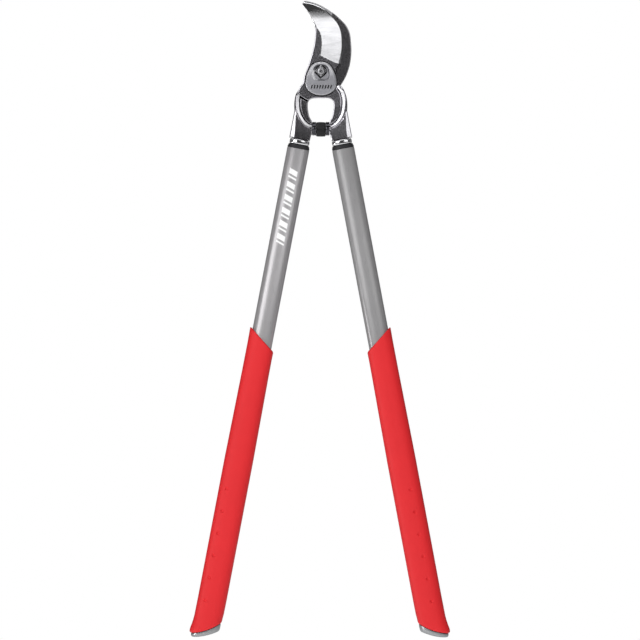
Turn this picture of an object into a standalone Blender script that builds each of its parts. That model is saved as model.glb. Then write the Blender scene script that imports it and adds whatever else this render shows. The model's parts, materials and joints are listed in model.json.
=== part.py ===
"""Bypass loppers: two forged jaws on one pivot bolt, each with a tang in a flat-oval tube handle.

Metres, +Z up. The loppers hang by the eye below the pivot, whose flat top is the origin.
X runs across the handles, and Y from the blade side at the front to the hook side behind.
Lengths below are in millimetres and are turned into metres by MM.
"""

import math

import bmesh
import bpy
from mathutils import Matrix, Vector

MM = 0.001
GAP = 0.3

# Jaws: flat forgings that slide on each other at Y = 0.
PIVOT_Z = 34.1
BLADE_THICKNESS = 4.5
HOOK_THICKNESS = 6.0
HEEL_RADIUS = 40.6
SHOULDER_RADIUS = 41.2
BOW_DEPTH = 13.6
SOCKET_DEPTH = 16.4
BOSS_DEPTH = 14.0
BOSS_FACE_X = 10.9

# Pivot stack.
BOLT_RADIUS = 4.7
BOLT_HEAD_RADIUS = 9.0
BOLT_HEAD_HEIGHT = 4.2
BOLT_NECK_SIDE = 10.4
PLATE_THICKNESS = 4.2
PLATE_FLOOR = 1.3
WASHER_RADIUS = 7.4
WASHER_THICKNESS = 1.0
NUT_SIDE = 10.6
NUT_THICKNESS = 3.6
BOLT_END_PROUD = 0.9

# Bumper between the handles.
BUMPER_Z = -39.2
RUBBER_WIDTH = 11.6
RUBBER_HEIGHT = 18.4
RUBBER_DEPTH = 15.0
STRIKE_WIDTH = 4.6
SEAT_WIDTH = 4.4
DISC_RADIUS = 8.7
STUD_RADIUS = 2.6
STUD_LENGTH = 5.0

# Handles: each axis leaves the head at HANDLE_ANGLE from the vertical. A station is a distance
# down that axis from the top of the tube.
HANDLE_ANGLE = math.radians(10.71)
HANDLE_TOP_X = 28.6
HANDLE_TOP_Z = -64.8
TUBE_WIDTH = 28.4
TUBE_DEPTH = 19.0
TUBE_WALL = 1.6
TUBE_END = 600.0
TANG_WIDTH = 20.0
TANG_DEPTH = 11.0
TANG_TOP = -24.0
TANG_END = 52.0
SLEEVE_END = 44.0
COLLAR_TOP = -5.1
FERRULE_TOP = -11.6
FERRULE_WIDTH = 25.4
FERRULE_DEPTH = 16.0
PIN_STATION = 25.0
PIN_RADIUS = 2.5
GRIP_DEPTH_EXTRA = 8.0
CAP_SPIGOT_TOP = 578.0
OVAL_SQUARENESS = 2.6
OVAL_POINTS = 40

# Grip rings: station, slope of the ring across the handle, offset outwards, half width.
GRIP_RINGS = [
    (247.3, -0.77, 0.0, 16.9),
    (249.2, -0.77, 0.0, 17.5),
    (290.0, -0.10, 0.0, 17.4),
    (405.0, 0.0, 0.0, 18.4),
    (585.0, 0.08, 0.0, 18.4),
    (606.0, 0.18, 0.7, 18.7),
    (619.0, 0.32, 2.4, 20.0),
    (622.6, 0.40, 2.5, 20.0),
    (625.2, 0.47, 1.4, 18.4),
]
# Cap rings below the grip, in the same terms.
CAP_RINGS = [
    (625.8, 0.47, 1.2, 17.4),
    (627.6, 0.47, 0.7, 17.4),
    (629.6, 0.47, -0.3, 15.6),
]

# Outlines in X and Z. ROUND points are passed smoothly, SHARP points are corners.
ROUND, SHARP = "AUTO", "VECTOR"


def pivot_arc(radius, start, end, steps=4):
    """Outline points on a circle round the pivot, between two angles in degrees from +X."""
    points = []
    for i in range(steps + 1):
        angle = math.radians(start + (end - start) * i / steps)
        kind = SHARP if i in (0, steps) else ROUND
        points.append((radius * math.cos(angle), PIVOT_Z + radius * math.sin(angle), kind))
    return points


BLADE_OUTLINE = [
    (-24.4, 119.9, SHARP), (-21.6, 122.3, SHARP), (-6.0, 118.4, ROUND), (12.2, 106.7, ROUND),
    (23.8, 91.2, ROUND), (27.2, 70.0, ROUND), (25.9, 52.5, ROUND), (24.2, 43.9, SHARP),
    (19.2, 35.0, ROUND), (19.6, 25.0, ROUND), (21.4, 15.9, SHARP), (24.8, 15.6, ROUND),
    (28.4, 11.8, ROUND), (30.8, 6.5, SHARP), (29.5, -3.0, SHARP), (19.0, -9.5, SHARP),
    (16.1, -4.4, SHARP), (12.5, -1.2, ROUND), (5.0, 0.0, SHARP), (-5.0, 0.0, SHARP),
    (-11.5, -0.9, ROUND), *pivot_arc(HEEL_RADIUS, -113, -133), (-28.8, 7.6, SHARP),
    (-26.8, 13.6, ROUND), (-23.2, 18.0, ROUND), (-21.0, 28.0, ROUND), (-15.4, 43.2, ROUND),
    (-10.2, 61.0, ROUND), (-7.6, 76.0, ROUND), (-7.4, 88.5, ROUND), (-12.8, 103.0, ROUND),
]
HOOK_OUTLINE = [
    (-23.4, 121.4, SHARP), (-20.8, 124.2, SHARP), (-8.0, 121.2, ROUND), (8.0, 113.4, ROUND),
    (24.0, 101.2, ROUND), (35.0, 87.6, ROUND), (38.5, 70.0, ROUND), (38.2, 50.0, ROUND),
    (34.2, 33.2, ROUND), (29.0, 22.0, ROUND), (24.2, 14.4, SHARP), (15.0, 4.4, ROUND),
    (5.0, 0.0, SHARP), (-5.0, 0.0, SHARP), (-12.5, -1.2, ROUND), (-16.1, -4.4, SHARP),
    (-19.0, -9.5, SHARP), (-29.5, -3.0, SHARP), (-30.8, 6.5, SHARP), (-26.4, 13.0, ROUND),
    (-22.4, 19.0, ROUND), (-20.0, 28.0, ROUND), (-14.6, 42.0, ROUND), (-9.0, 46.6, ROUND),
    (5.0, 46.0, ROUND), (15.5, 50.5, ROUND), (21.2, 62.0, ROUND), (21.8, 76.0, ROUND),
    (17.6, 90.5, ROUND), (6.0, 104.0, ROUND), (-9.0, 114.4, ROUND),
]
# The bow is the thick part of a forging round its side of the eye, drawn for the right side.
BOW_OUTLINE = [
    (33.2, -1.5, ROUND), (33.9, -9.0, ROUND), (33.5, -17.0, SHARP),
    (30.0, -32.0, SHARP), (18.0, -50.0, SHARP), (11.2, -48.2, SHARP), (11.2, -29.6, SHARP),
    (14.2, -24.6, ROUND), (16.1, -16.0, ROUND), (16.6, -9.0, ROUND), *pivot_arc(SHOULDER_RADIUS, -67, -42),
]
SOCKET_OUTLINE = [
    (33.7, -16.4, SHARP), (40.0, -50.3, SHARP), (14.2, -55.3, SHARP), (12.2, -47.0, SHARP),
    (20.0, -38.0, ROUND), (28.0, -27.0, ROUND),
]
PLATE_OUTLINE = [
    (0.2, 45.8, ROUND), (9.6, 43.0, ROUND), (15.4, 35.6, ROUND), (19.2, 24.0, ROUND),
    (18.9, 13.6, ROUND), (11.4, 6.0, ROUND), (0.2, 3.3, ROUND), (-11.0, 6.0, ROUND),
    (-18.6, 13.6, ROUND), (-18.9, 24.0, ROUND), (-15.2, 35.6, ROUND), (-9.3, 43.0, ROUND),
]
RECESS_OUTLINE = [
    (0.3, 42.4, ROUND), (7.2, 40.4, ROUND), (10.6, 33.6, ROUND), (10.6, 26.0, ROUND),
    (7.0, 22.4, ROUND), (0.3, 22.0, ROUND), (-6.6, 22.4, ROUND), (-10.2, 26.0, ROUND),
    (-10.2, 33.6, ROUND), (-6.8, 40.4, ROUND),
]

STAND_UP = Matrix.Rotation(math.pi / 2, 4, "X")
ACROSS = Matrix.Rotation(math.pi / 2, 4, "Y")
PIVOT = Vector((0, 0, PIVOT_Z * MM))


def clear_scene():
    for thing in list(bpy.data.objects):
        bpy.data.objects.remove(thing, do_unlink=True)


def new_collection(name):
    collection = bpy.data.collections.new(name)
    bpy.context.scene.collection.children.link(collection)
    return collection


def new_material(name, colour, roughness, metallic):
    material = bpy.data.materials.new(name)
    material.use_nodes = True
    surface = material.node_tree.nodes["Principled BSDF"]
    surface.inputs["Base Color"].default_value = (*colour, 1.0)
    surface.inputs["Roughness"].default_value = roughness
    surface.inputs["Metallic"].default_value = metallic
    material.diffuse_color = (*colour, 1.0)
    return material


def new_empty(name, location, parent=None, rotation=(0, 0, 0)):
    empty = bpy.data.objects.new(name, None)
    parts.objects.link(empty)
    empty.parent = parent
    empty.location = location
    empty.rotation_euler = rotation
    return empty


def add_object(name, mesh, collection, parent, matrix):
    """Adds a mesh object; matrix is its place under its parent."""
    thing = bpy.data.objects.new(name, mesh)
    collection.objects.link(thing)
    thing.parent = parent
    thing.matrix_local = matrix
    return thing


def finish_mesh(mesh, material):
    """Smooth shading with sharp edges above 35 degrees, and the sub-part's material."""
    mesh.materials.clear()
    if material:
        mesh.materials.append(material)
    mesh.shade_smooth()
    mesh.set_sharp_from_angle(angle=math.radians(35))


def outline_mesh(name, loops, thickness, chamfer=0.0, curve_steps=6):
    """A flat piece in the XY plane: the first loop is its edge and the others are holes."""
    curve = bpy.data.curves.new(name, "CURVE")
    curve.dimensions = "2D"
    curve.fill_mode = "BOTH"
    curve.extrude = (thickness / 2 - chamfer) * MM
    curve.bevel_depth = chamfer * MM
    curve.bevel_resolution = 0
    curve.offset = -chamfer * MM
    curve.resolution_u = curve_steps
    for loop in loops:
        spline = curve.splines.new("BEZIER")
        spline.bezier_points.add(len(loop) - 1)
        spline.use_cyclic_u = True
        for point, (across, up, kind) in zip(spline.bezier_points, loop):
            point.co = (across * MM, up * MM, 0)
            point.handle_left_type = kind
            point.handle_right_type = kind
    drawn = bpy.data.objects.new(name, curve)
    parts.objects.link(drawn)
    seen = drawn.evaluated_get(bpy.context.evaluated_depsgraph_get())
    mesh = bpy.data.meshes.new_from_object(seen)
    bpy.data.objects.remove(drawn, do_unlink=True)
    shape = bmesh.new()
    shape.from_mesh(mesh)
    bmesh.ops.remove_doubles(shape, verts=shape.verts, dist=0.00001)
    bmesh.ops.dissolve_limit(
        shape, angle_limit=math.radians(0.2), verts=shape.verts, edges=shape.edges
    )
    bmesh.ops.recalc_face_normals(shape, faces=shape.faces)
    shape.to_mesh(mesh)
    shape.free()
    return mesh


def mirrored(outline):
    return [(-across, up, kind) for across, up, kind in reversed(outline)]


def plate(name, loops, y_front, y_back, material, parent, origin, collection, chamfer=0.0):
    """A standing flat piece between two Y planes, with its object origin at the given point."""
    mesh = outline_mesh(name, loops, y_back - y_front, chamfer)
    middle = Vector((0, (y_front + y_back) / 2 * MM, 0))
    mesh.transform(Matrix.Translation(middle - origin) @ STAND_UP)
    finish_mesh(mesh, material)
    return add_object(name, mesh, collection, parent, Matrix.Identity(4))


def cylinder_mesh(name, radius, length, segments=32):
    mesh = bpy.data.meshes.new(name)
    shape = bmesh.new()
    bmesh.ops.create_cone(
        shape,
        cap_ends=True,
        segments=segments,
        radius1=radius * MM,
        radius2=radius * MM,
        depth=length * MM,
    )
    shape.to_mesh(mesh)
    shape.free()
    return mesh


def box_mesh(name, size):
    mesh = bpy.data.meshes.new(name)
    shape = bmesh.new()
    bmesh.ops.create_cube(shape, size=1.0)
    bmesh.ops.scale(shape, vec=Vector(size) * MM, verts=shape.verts)
    shape.to_mesh(mesh)
    shape.free()
    return mesh


def turned(name, profile, closed, material, parent, matrix):
    """A turned piece: profile points are radius and height, down the outer side."""
    mesh = bpy.data.meshes.new(name)
    count = len(profile)
    edges = [(i, (i + 1) % count) for i in range(count if closed else count - 1)]
    points = [(radius * MM, 0, height * MM) for radius, height in profile]
    mesh.from_pydata(points, edges, [])
    thing = add_object(name, mesh, parts, parent, matrix)
    screw = thing.modifiers.new("turn", "SCREW")
    screw.steps = 40
    screw.render_steps = 40
    screw.use_merge_vertices = True
    screw.merge_threshold = 0.00001
    mesh.materials.append(material)
    return thing


def oval_ring(station, slope, offset, half_width, half_depth, side):
    """One ring round a handle axis. Outwards is +X on the right handle and -X on the left."""
    ring = []
    for i in range(OVAL_POINTS):
        angle = 2 * math.pi * i / OVAL_POINTS
        power = 2 / OVAL_SQUARENESS
        out = offset + half_width * math.copysign(abs(math.cos(angle)) ** power, math.cos(angle))
        back = half_depth * math.copysign(abs(math.sin(angle)) ** power, math.sin(angle))
        ring.append(Vector((side * out, back, -(station + slope * out))) * MM)
    return ring


def loft_mesh(name, rings, hollow):
    """Skins the rings in order. A hollow loft joins the last ring to the first."""
    mesh = bpy.data.meshes.new(name)
    shape = bmesh.new()
    rows = [[shape.verts.new(point) for point in ring] for ring in rings]
    pairs = list(zip(rows, rows[1:]))
    if hollow:
        pairs.append((rows[-1], rows[0]))
    for upper, lower in pairs:
        for i in range(OVAL_POINTS):
            j = (i + 1) % OVAL_POINTS
            shape.faces.new((upper[i], upper[j], lower[j], lower[i]))
    if not hollow:
        shape.faces.new(rows[0])
        shape.faces.new(list(reversed(rows[-1])))
    bmesh.ops.recalc_face_normals(shape, faces=shape.faces)
    shape.to_mesh(mesh)
    shape.free()
    return mesh


def handle_piece(name, rings, hollow, material, parent):
    mesh = loft_mesh(name, rings, hollow)
    finish_mesh(mesh, material)
    return add_object(name, mesh, parts, parent, Matrix.Identity(4))


def combine(target, operand, operation):
    modifier = target.modifiers.new(operand.name, "BOOLEAN")
    modifier.operation = operation
    modifier.object = operand
    modifier.solver = "EXACT"
    operand.hide_render = True
    operand.display_type = "WIRE"


def add_cutter(name, mesh, parent, matrix):
    return add_object(name, mesh, cutters, parent, matrix)


def add_tang(forging, side, body, body_origin, handle):
    """Joins the bow, the socket shoulder and the tang of one side to its jaw."""
    bow = BOW_OUTLINE if side > 0 else mirrored(BOW_OUTLINE)
    socket = SOCKET_OUTLINE if side > 0 else mirrored(SOCKET_OUTLINE)
    label = forging.name
    bow_part = plate(
        label + "_bow", [bow], -BOW_DEPTH / 2, BOW_DEPTH / 2, None, body, body_origin, cutters
    )
    combine(forging, bow_part, "UNION")
    socket_part = plate(
        label + "_socket", [socket], -SOCKET_DEPTH / 2, SOCKET_DEPTH / 2, None, body, body_origin,
        cutters,
    )
    combine(forging, socket_part, "UNION")
    boss_width = 7.0
    boss_place = Vector((side * (BOSS_FACE_X + boss_width / 2) * MM, 0, BUMPER_Z * MM)) - body_origin
    boss = add_cutter(
        label + "_boss",
        cylinder_mesh(label + "_boss", BOSS_DEPTH / 2, boss_width),
        body,
        Matrix.Translation(boss_place) @ ACROSS,
    )
    combine(forging, boss, "UNION")
    stud_hole_length = 2 * (STUD_LENGTH + GAP)
    stud_place = Vector((side * BOSS_FACE_X * MM, 0, BUMPER_Z * MM)) - body_origin
    stud_hole = add_cutter(
        label + "_stud_hole",
        cylinder_mesh(label + "_stud_hole", STUD_RADIUS + GAP, stud_hole_length),
        body,
        Matrix.Translation(stud_place) @ ACROSS,
    )
    combine(forging, stud_hole, "DIFFERENCE")
    tang_rings = [
        oval_ring(TANG_TOP, 0, 0, TANG_WIDTH / 2, TANG_DEPTH / 2, side),
        oval_ring(TANG_END - 6, 0, 0, TANG_WIDTH / 2, TANG_DEPTH / 2, side),
        oval_ring(TANG_END, 0, 0, TANG_WIDTH / 2 - 3, TANG_DEPTH / 2 - 2, side),
    ]
    tang = add_cutter(
        label + "_tang", loft_mesh(label + "_tang", tang_rings, False), handle, Matrix.Identity(4)
    )
    combine(forging, tang, "UNION")


def make_blade():
    hidden_face = -GAP / 2
    blade = plate(
        "blade", [BLADE_OUTLINE], hidden_face - BLADE_THICKNESS, hidden_face,
        forged_blade, blade_side, PIVOT, parts,
    )
    add_tang(blade, 1, blade_side, PIVOT, right_handle)
    hole = add_cutter(
        "blade_bolt_hole",
        cylinder_mesh("blade_bolt_hole", BOLT_RADIUS + GAP, 40, 40),
        blade_side,
        STAND_UP,
    )
    combine(blade, hole, "DIFFERENCE")
    return blade


def make_hook():
    hidden_face = GAP / 2
    hook = plate(
        "hook", [HOOK_OUTLINE], hidden_face, hidden_face + HOOK_THICKNESS,
        forged_hook, hook_side, Vector(), parts,
    )
    add_tang(hook, -1, hook_side, Vector(), left_handle)
    side = BOLT_NECK_SIDE + 2 * GAP
    hole = add_cutter(
        "hook_square_hole",
        box_mesh("hook_square_hole", (side, 40, side)),
        hook_side,
        Matrix.Translation(PIVOT),
    )
    combine(hook, hole, "DIFFERENCE")
    return hook


def make_pivot_stack():
    """Bolt from behind, cover plate, washer and square nut in front. Turned pieces point to -Y."""
    plate_back = -GAP / 2 - BLADE_THICKNESS - GAP
    plate_front = plate_back - PLATE_THICKNESS
    recess_floor = plate_back - PLATE_FLOOR
    washer_front = recess_floor - GAP - WASHER_THICKNESS
    nut_front = washer_front - GAP - NUT_THICKNESS
    bolt_front = nut_front - BOLT_END_PROUD
    hook_back = GAP / 2 + HOOK_THICKNESS
    head_face = hook_back + GAP

    cover = plate(
        "pivot_plate", [PLATE_OUTLINE], plate_front, plate_back, satin_plate,
        blade_side, PIVOT, parts, 1.0,
    )
    recess = plate(
        "plate_recess", [RECESS_OUTLINE], plate_front - 3, recess_floor, None,
        blade_side, PIVOT, cutters,
    )
    combine(cover, recess, "DIFFERENCE")
    plate_hole = add_cutter(
        "plate_bolt_hole",
        cylinder_mesh("plate_bolt_hole", BOLT_RADIUS + GAP, 40, 40),
        blade_side,
        STAND_UP,
    )
    combine(cover, plate_hole, "DIFFERENCE")

    at_pivot = Matrix.Translation(PIVOT) @ STAND_UP
    bore = BOLT_RADIUS + GAP
    washer_top = -washer_front
    washer_profile = [
        (WASHER_RADIUS, washer_top),
        (WASHER_RADIUS, washer_top - WASHER_THICKNESS),
        (bore, washer_top - WASHER_THICKNESS),
        (bore, washer_top),
    ]
    turned("pivot_washer", washer_profile, True, zinc, hook_side, at_pivot)

    nut_mesh = box_mesh("pivot_nut", (NUT_SIDE, NUT_THICKNESS, NUT_SIDE))
    finish_mesh(nut_mesh, zinc)
    nut_place = PIVOT + Vector((0, (nut_front + NUT_THICKNESS / 2) * MM, 0))
    corner_down = Matrix.Rotation(math.pi / 4, 4, "Y")
    nut = add_object(
        "pivot_nut", nut_mesh, parts, hook_side, Matrix.Translation(nut_place) @ corner_down
    )
    edge = nut.modifiers.new("edge", "BEVEL")
    edge.width = 0.5 * MM
    edge.segments = 2
    nut_hole = add_cutter(
        "nut_hole", cylinder_mesh("nut_hole", bore, 40, 40), hook_side, at_pivot
    )
    combine(nut, nut_hole, "DIFFERENCE")

    bolt_profile = [
        (0, -bolt_front),
        (BOLT_RADIUS - 0.8, -bolt_front),
        (BOLT_RADIUS, -bolt_front - 0.8),
        (BOLT_RADIUS, -head_face),
        (BOLT_HEAD_RADIUS, -head_face),
        (BOLT_HEAD_RADIUS, -head_face - 1.2),
        (BOLT_HEAD_RADIUS - 2.2, -head_face - BOLT_HEAD_HEIGHT + 0.8),
        (BOLT_HEAD_RADIUS - 5.0, -head_face - BOLT_HEAD_HEIGHT),
        (0, -head_face - BOLT_HEAD_HEIGHT),
    ]
    bolt = turned("pivot_bolt", bolt_profile, False, zinc, hook_side, at_pivot)
    neck_front = GAP / 2 + 0.4
    neck_length = head_face + 0.5 - neck_front
    neck_middle = PIVOT + Vector((0, (neck_front + neck_length / 2) * MM, 0))
    neck = add_cutter(
        "bolt_neck",
        box_mesh("bolt_neck", (BOLT_NECK_SIDE, neck_length, BOLT_NECK_SIDE)),
        hook_side,
        Matrix.Translation(neck_middle),
    )
    combine(bolt, neck, "UNION")


def make_bumper():
    """Strike disc on the hook's boss; seat disc and rubber block on the blade's boss."""
    strike_left = -BOSS_FACE_X + GAP
    strike_right = strike_left + STRIKE_WIDTH
    rubber_left = strike_right + GAP
    rubber_right = rubber_left + RUBBER_WIDTH
    seat_left = rubber_right + GAP
    seat_right = BOSS_FACE_X - GAP

    strike_profile = [
        (0, strike_right), (DISC_RADIUS - 0.6, strike_right), (DISC_RADIUS, strike_right - 0.6),
        (DISC_RADIUS, strike_left + 0.6), (DISC_RADIUS - 0.6, strike_left),
        (STUD_RADIUS, strike_left), (STUD_RADIUS, strike_left - STUD_LENGTH),
        (0, strike_left - STUD_LENGTH),
    ]
    left_place = Matrix.Translation((0, 0, BUMPER_Z * MM)) @ ACROSS
    turned("bumper_strike", strike_profile, False, bright_steel, hook_side, left_place)

    seat_profile = [
        (0, seat_right + STUD_LENGTH), (STUD_RADIUS, seat_right + STUD_LENGTH),
        (STUD_RADIUS, seat_right), (DISC_RADIUS - 0.6, seat_right),
        (DISC_RADIUS, seat_right - 0.6), (DISC_RADIUS, seat_left + 0.6),
        (DISC_RADIUS - 0.6, seat_left), (STUD_RADIUS, seat_left),
        (STUD_RADIUS, seat_left - STUD_LENGTH), (0, seat_left - STUD_LENGTH),
    ]
    right_place = Matrix.Translation(Vector((0, 0, BUMPER_Z * MM)) - PIVOT) @ ACROSS
    turned("bumper_seat", seat_profile, False, bright_steel, blade_side, right_place)

    block_mesh = box_mesh("bumper_block", (RUBBER_WIDTH, RUBBER_DEPTH, RUBBER_HEIGHT))
    finish_mesh(block_mesh, rubber)
    block_x = (rubber_left + rubber_right) / 2
    block_place = Vector((block_x * MM, 0, (BUMPER_Z - 0.8) * MM)) - PIVOT
    block = add_object(
        "bumper_block", block_mesh, parts, blade_side, Matrix.Translation(block_place)
    )
    edge = block.modifiers.new("edge", "BEVEL")
    edge.width = 1.4 * MM
    edge.segments = 3
    hole_depth = STUD_LENGTH + GAP
    stud_hole = add_cutter(
        "block_stud_hole",
        cylinder_mesh("block_stud_hole", STUD_RADIUS + GAP, 2 * hole_depth),
        blade_side,
        Matrix.Translation(Vector((rubber_right * MM, 0, BUMPER_Z * MM)) - PIVOT) @ ACROSS,
    )
    combine(block, stud_hole, "DIFFERENCE")


def straight_sleeve(name, top, end, outer, inner, material, parent, side):
    """A hollow piece with one outer and one inner size; sizes are half width and half depth."""
    rings = [
        oval_ring(top, 0, 0, *outer, side),
        oval_ring(end, 0, 0, *outer, side),
        oval_ring(end, 0, 0, *inner, side),
        oval_ring(top, 0, 0, *inner, side),
    ]
    return handle_piece(name, rings, True, material, parent)


def make_handle(label, side, handle):
    tube_half = (TUBE_WIDTH / 2, TUBE_DEPTH / 2)
    tube_bore = (tube_half[0] - TUBE_WALL, tube_half[1] - TUBE_WALL)
    tang_clear = (TANG_WIDTH / 2 + GAP, TANG_DEPTH / 2 + GAP)
    inside_tube = (tube_bore[0] - GAP, tube_bore[1] - GAP)
    ferrule_half = (FERRULE_WIDTH / 2, FERRULE_DEPTH / 2)

    straight_sleeve(
        label + "_ferrule", FERRULE_TOP, COLLAR_TOP - GAP, ferrule_half, tang_clear,
        chrome, handle, side,
    )
    collar_rings = [
        oval_ring(COLLAR_TOP, 0, 0, tube_half[0] - 0.9, tube_half[1] - 0.6, side),
        oval_ring(-GAP, 0, 0, tube_half[0], tube_half[1], side),
        oval_ring(-GAP, 0, 0, *inside_tube, side),
        oval_ring(SLEEVE_END, 0, 0, *inside_tube, side),
        oval_ring(SLEEVE_END, 0, 0, *tang_clear, side),
        oval_ring(COLLAR_TOP, 0, 0, *tang_clear, side),
    ]
    collar = handle_piece(label + "_collar", collar_rings, True, black_plastic, handle)
    tube = straight_sleeve(
        label + "_tube", 0, TUBE_END, tube_half, tube_bore, tube_metal, handle, side
    )

    pin_rear = tube_half[1] - 0.2
    pin_front = -tang_clear[1] - 0.4
    pin_middle = (pin_rear + pin_front) / 2
    pin_mesh = cylinder_mesh(label + "_tang_pin", PIN_RADIUS, pin_rear - pin_front, 24)
    finish_mesh(pin_mesh, zinc)
    pin_place = Matrix.Translation(Vector((0, pin_middle, -PIN_STATION)) * MM) @ STAND_UP
    add_object(label + "_tang_pin", pin_mesh, parts, handle, pin_place)
    hole_rear = pin_rear + 4
    hole_front = pin_front - GAP
    hole_place = Vector((0, (hole_rear + hole_front) / 2, -PIN_STATION)) * MM
    pin_hole = add_cutter(
        label + "_pin_hole",
        cylinder_mesh(label + "_pin_hole", PIN_RADIUS + GAP, hole_rear - hole_front, 24),
        handle,
        Matrix.Translation(hole_place) @ STAND_UP,
    )
    forging = blade if side > 0 else hook
    for pierced in (tube, collar, forging):
        combine(pierced, pin_hole, "DIFFERENCE")

    grip_half_depth = (TUBE_DEPTH + GRIP_DEPTH_EXTRA) / 2
    grip_bore = (tube_half[0] + GAP, tube_half[1] + GAP)
    widest = max(half for _, _, _, half in GRIP_RINGS)
    grip_rings = []
    for station, slope, offset, half in GRIP_RINGS:
        depth = grip_half_depth - 0.4 * (widest - half)
        grip_rings.append(oval_ring(station, slope, offset, half, depth, side))
    last_station, last_slope, _, _ = GRIP_RINGS[-1]
    first_station, first_slope, _, _ = GRIP_RINGS[0]
    grip_rings.append(oval_ring(last_station, last_slope, 0, *grip_bore, side))
    grip_rings.append(oval_ring(first_station, first_slope, 0, *grip_bore, side))
    handle_piece(label + "_grip", grip_rings, True, red_grip, handle)

    flange_station, flange_slope, _, _ = CAP_RINGS[0]
    cap_rings = [
        oval_ring(CAP_SPIGOT_TOP, 0, 0, inside_tube[0] - 1.5, inside_tube[1] - 1.5, side),
        oval_ring(CAP_SPIGOT_TOP + 4, 0, 0, *inside_tube, side),
        oval_ring(flange_station, flange_slope, 0, *inside_tube, side),
    ]
    for station, slope, offset, half in CAP_RINGS:
        depth = grip_half_depth - 0.9 * (widest - half)
        cap_rings.append(oval_ring(station, slope, offset, half, depth, side))
    handle_piece(label + "_end_cap", cap_rings, False, grey_plastic, handle)


clear_scene()
parts = new_collection("bypass_loppers")
cutters = new_collection("cutters")

forged_blade = new_material("forged_blade", (0.30, 0.30, 0.32), 0.35, 1.0)
forged_hook = new_material("forged_hook", (0.05, 0.048, 0.05), 0.5, 0.6)
satin_plate = new_material("satin_plate", (0.38, 0.38, 0.40), 0.42, 1.0)
zinc = new_material("zinc", (0.42, 0.42, 0.44), 0.4, 1.0)
bright_steel = new_material("bright_steel", (0.55, 0.55, 0.56), 0.3, 1.0)
chrome = new_material("chrome", (0.75, 0.75, 0.77), 0.15, 1.0)
rubber = new_material("rubber", (0.02, 0.02, 0.02), 0.8, 0.0)
black_plastic = new_material("black_plastic", (0.025, 0.025, 0.027), 0.5, 0.0)
tube_metal = new_material("tube_metal", (0.42, 0.41, 0.42), 0.42, 0.8)
red_grip = new_material("red_grip", (0.78, 0.03, 0.035), 0.55, 0.0)
grey_plastic = new_material("grey_plastic", (0.34, 0.34, 0.35), 0.45, 0.3)

hook_side = new_empty("hook_side", (0, 0, 0))
blade_side = new_empty("blade_side", PIVOT, hook_side)
left_handle = new_empty(
    "left_handle",
    Vector((-HANDLE_TOP_X, 0, HANDLE_TOP_Z)) * MM,
    hook_side,
    (0, HANDLE_ANGLE, 0),
)
right_handle = new_empty(
    "right_handle",
    Vector((HANDLE_TOP_X, 0, HANDLE_TOP_Z)) * MM - PIVOT,
    blade_side,
    (0, -HANDLE_ANGLE, 0),
)

blade = make_blade()
hook = make_hook()
make_pivot_stack()
make_bumper()
make_handle("left", -1, left_handle)
make_handle("right", 1, right_handle)
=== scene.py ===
"""Looks of the bypass loppers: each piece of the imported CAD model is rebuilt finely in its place.

Sizes are in millimetres in the CAD frame: +Z up from the flat top of the eye, +Y to the back.
"""

import json
import math

import bmesh
import bpy
import numpy as np
from mathutils import Matrix, Vector
from mathutils.geometry import delaunay_2d_cdt
from mathutils.kdtree import KDTree


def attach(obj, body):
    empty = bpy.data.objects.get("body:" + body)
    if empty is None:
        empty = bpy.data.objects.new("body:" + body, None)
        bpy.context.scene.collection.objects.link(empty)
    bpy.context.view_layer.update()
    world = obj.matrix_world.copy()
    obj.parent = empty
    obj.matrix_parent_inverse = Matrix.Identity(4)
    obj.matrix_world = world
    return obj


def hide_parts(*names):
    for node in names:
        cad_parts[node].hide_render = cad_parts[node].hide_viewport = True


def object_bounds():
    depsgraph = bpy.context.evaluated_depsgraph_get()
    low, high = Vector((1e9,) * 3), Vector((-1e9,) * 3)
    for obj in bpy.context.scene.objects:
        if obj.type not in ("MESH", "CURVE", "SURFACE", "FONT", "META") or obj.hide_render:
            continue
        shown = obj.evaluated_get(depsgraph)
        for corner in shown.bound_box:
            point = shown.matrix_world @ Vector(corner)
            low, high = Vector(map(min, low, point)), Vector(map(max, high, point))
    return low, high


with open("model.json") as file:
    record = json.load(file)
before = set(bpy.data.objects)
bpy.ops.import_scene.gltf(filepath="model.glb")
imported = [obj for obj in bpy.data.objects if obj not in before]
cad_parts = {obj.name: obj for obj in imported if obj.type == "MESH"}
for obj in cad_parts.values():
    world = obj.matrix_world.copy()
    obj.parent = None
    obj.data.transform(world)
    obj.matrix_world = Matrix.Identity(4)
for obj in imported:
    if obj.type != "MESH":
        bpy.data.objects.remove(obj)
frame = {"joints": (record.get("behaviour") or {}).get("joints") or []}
cad_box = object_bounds()

MM = 0.001
GAP = 0.3
PIVOT_Z = frame["joints"][0]["pos_m"][2] / MM

# Head, as the CAD has it.
BLADE_THICKNESS = 4.5
HOOK_THICKNESS = 6.0
HEEL_RADIUS = 40.6
SHOULDER_RADIUS = 41.2
WEB_HEIGHT = 4.9
BEAD_HEIGHT = 6.9
SOCKET_LOW = 5.9
SOCKET_HEIGHT = 8.2
BEAD_WIDTH = 3.3
BEAD_SLOPE = 0.2
GROOVE_DEPTH = 1.1
# Heights between which the bead and its groove rise out of the flat of the jaw.
BEAD_RISE = (15.0, 9.0)
BOSS_RADIUS = 7.0
BUMPER_Z = -39.2
BOLT_RADIUS = 4.7
BORE = BOLT_RADIUS + GAP
NECK_HALF = 5.2

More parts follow.
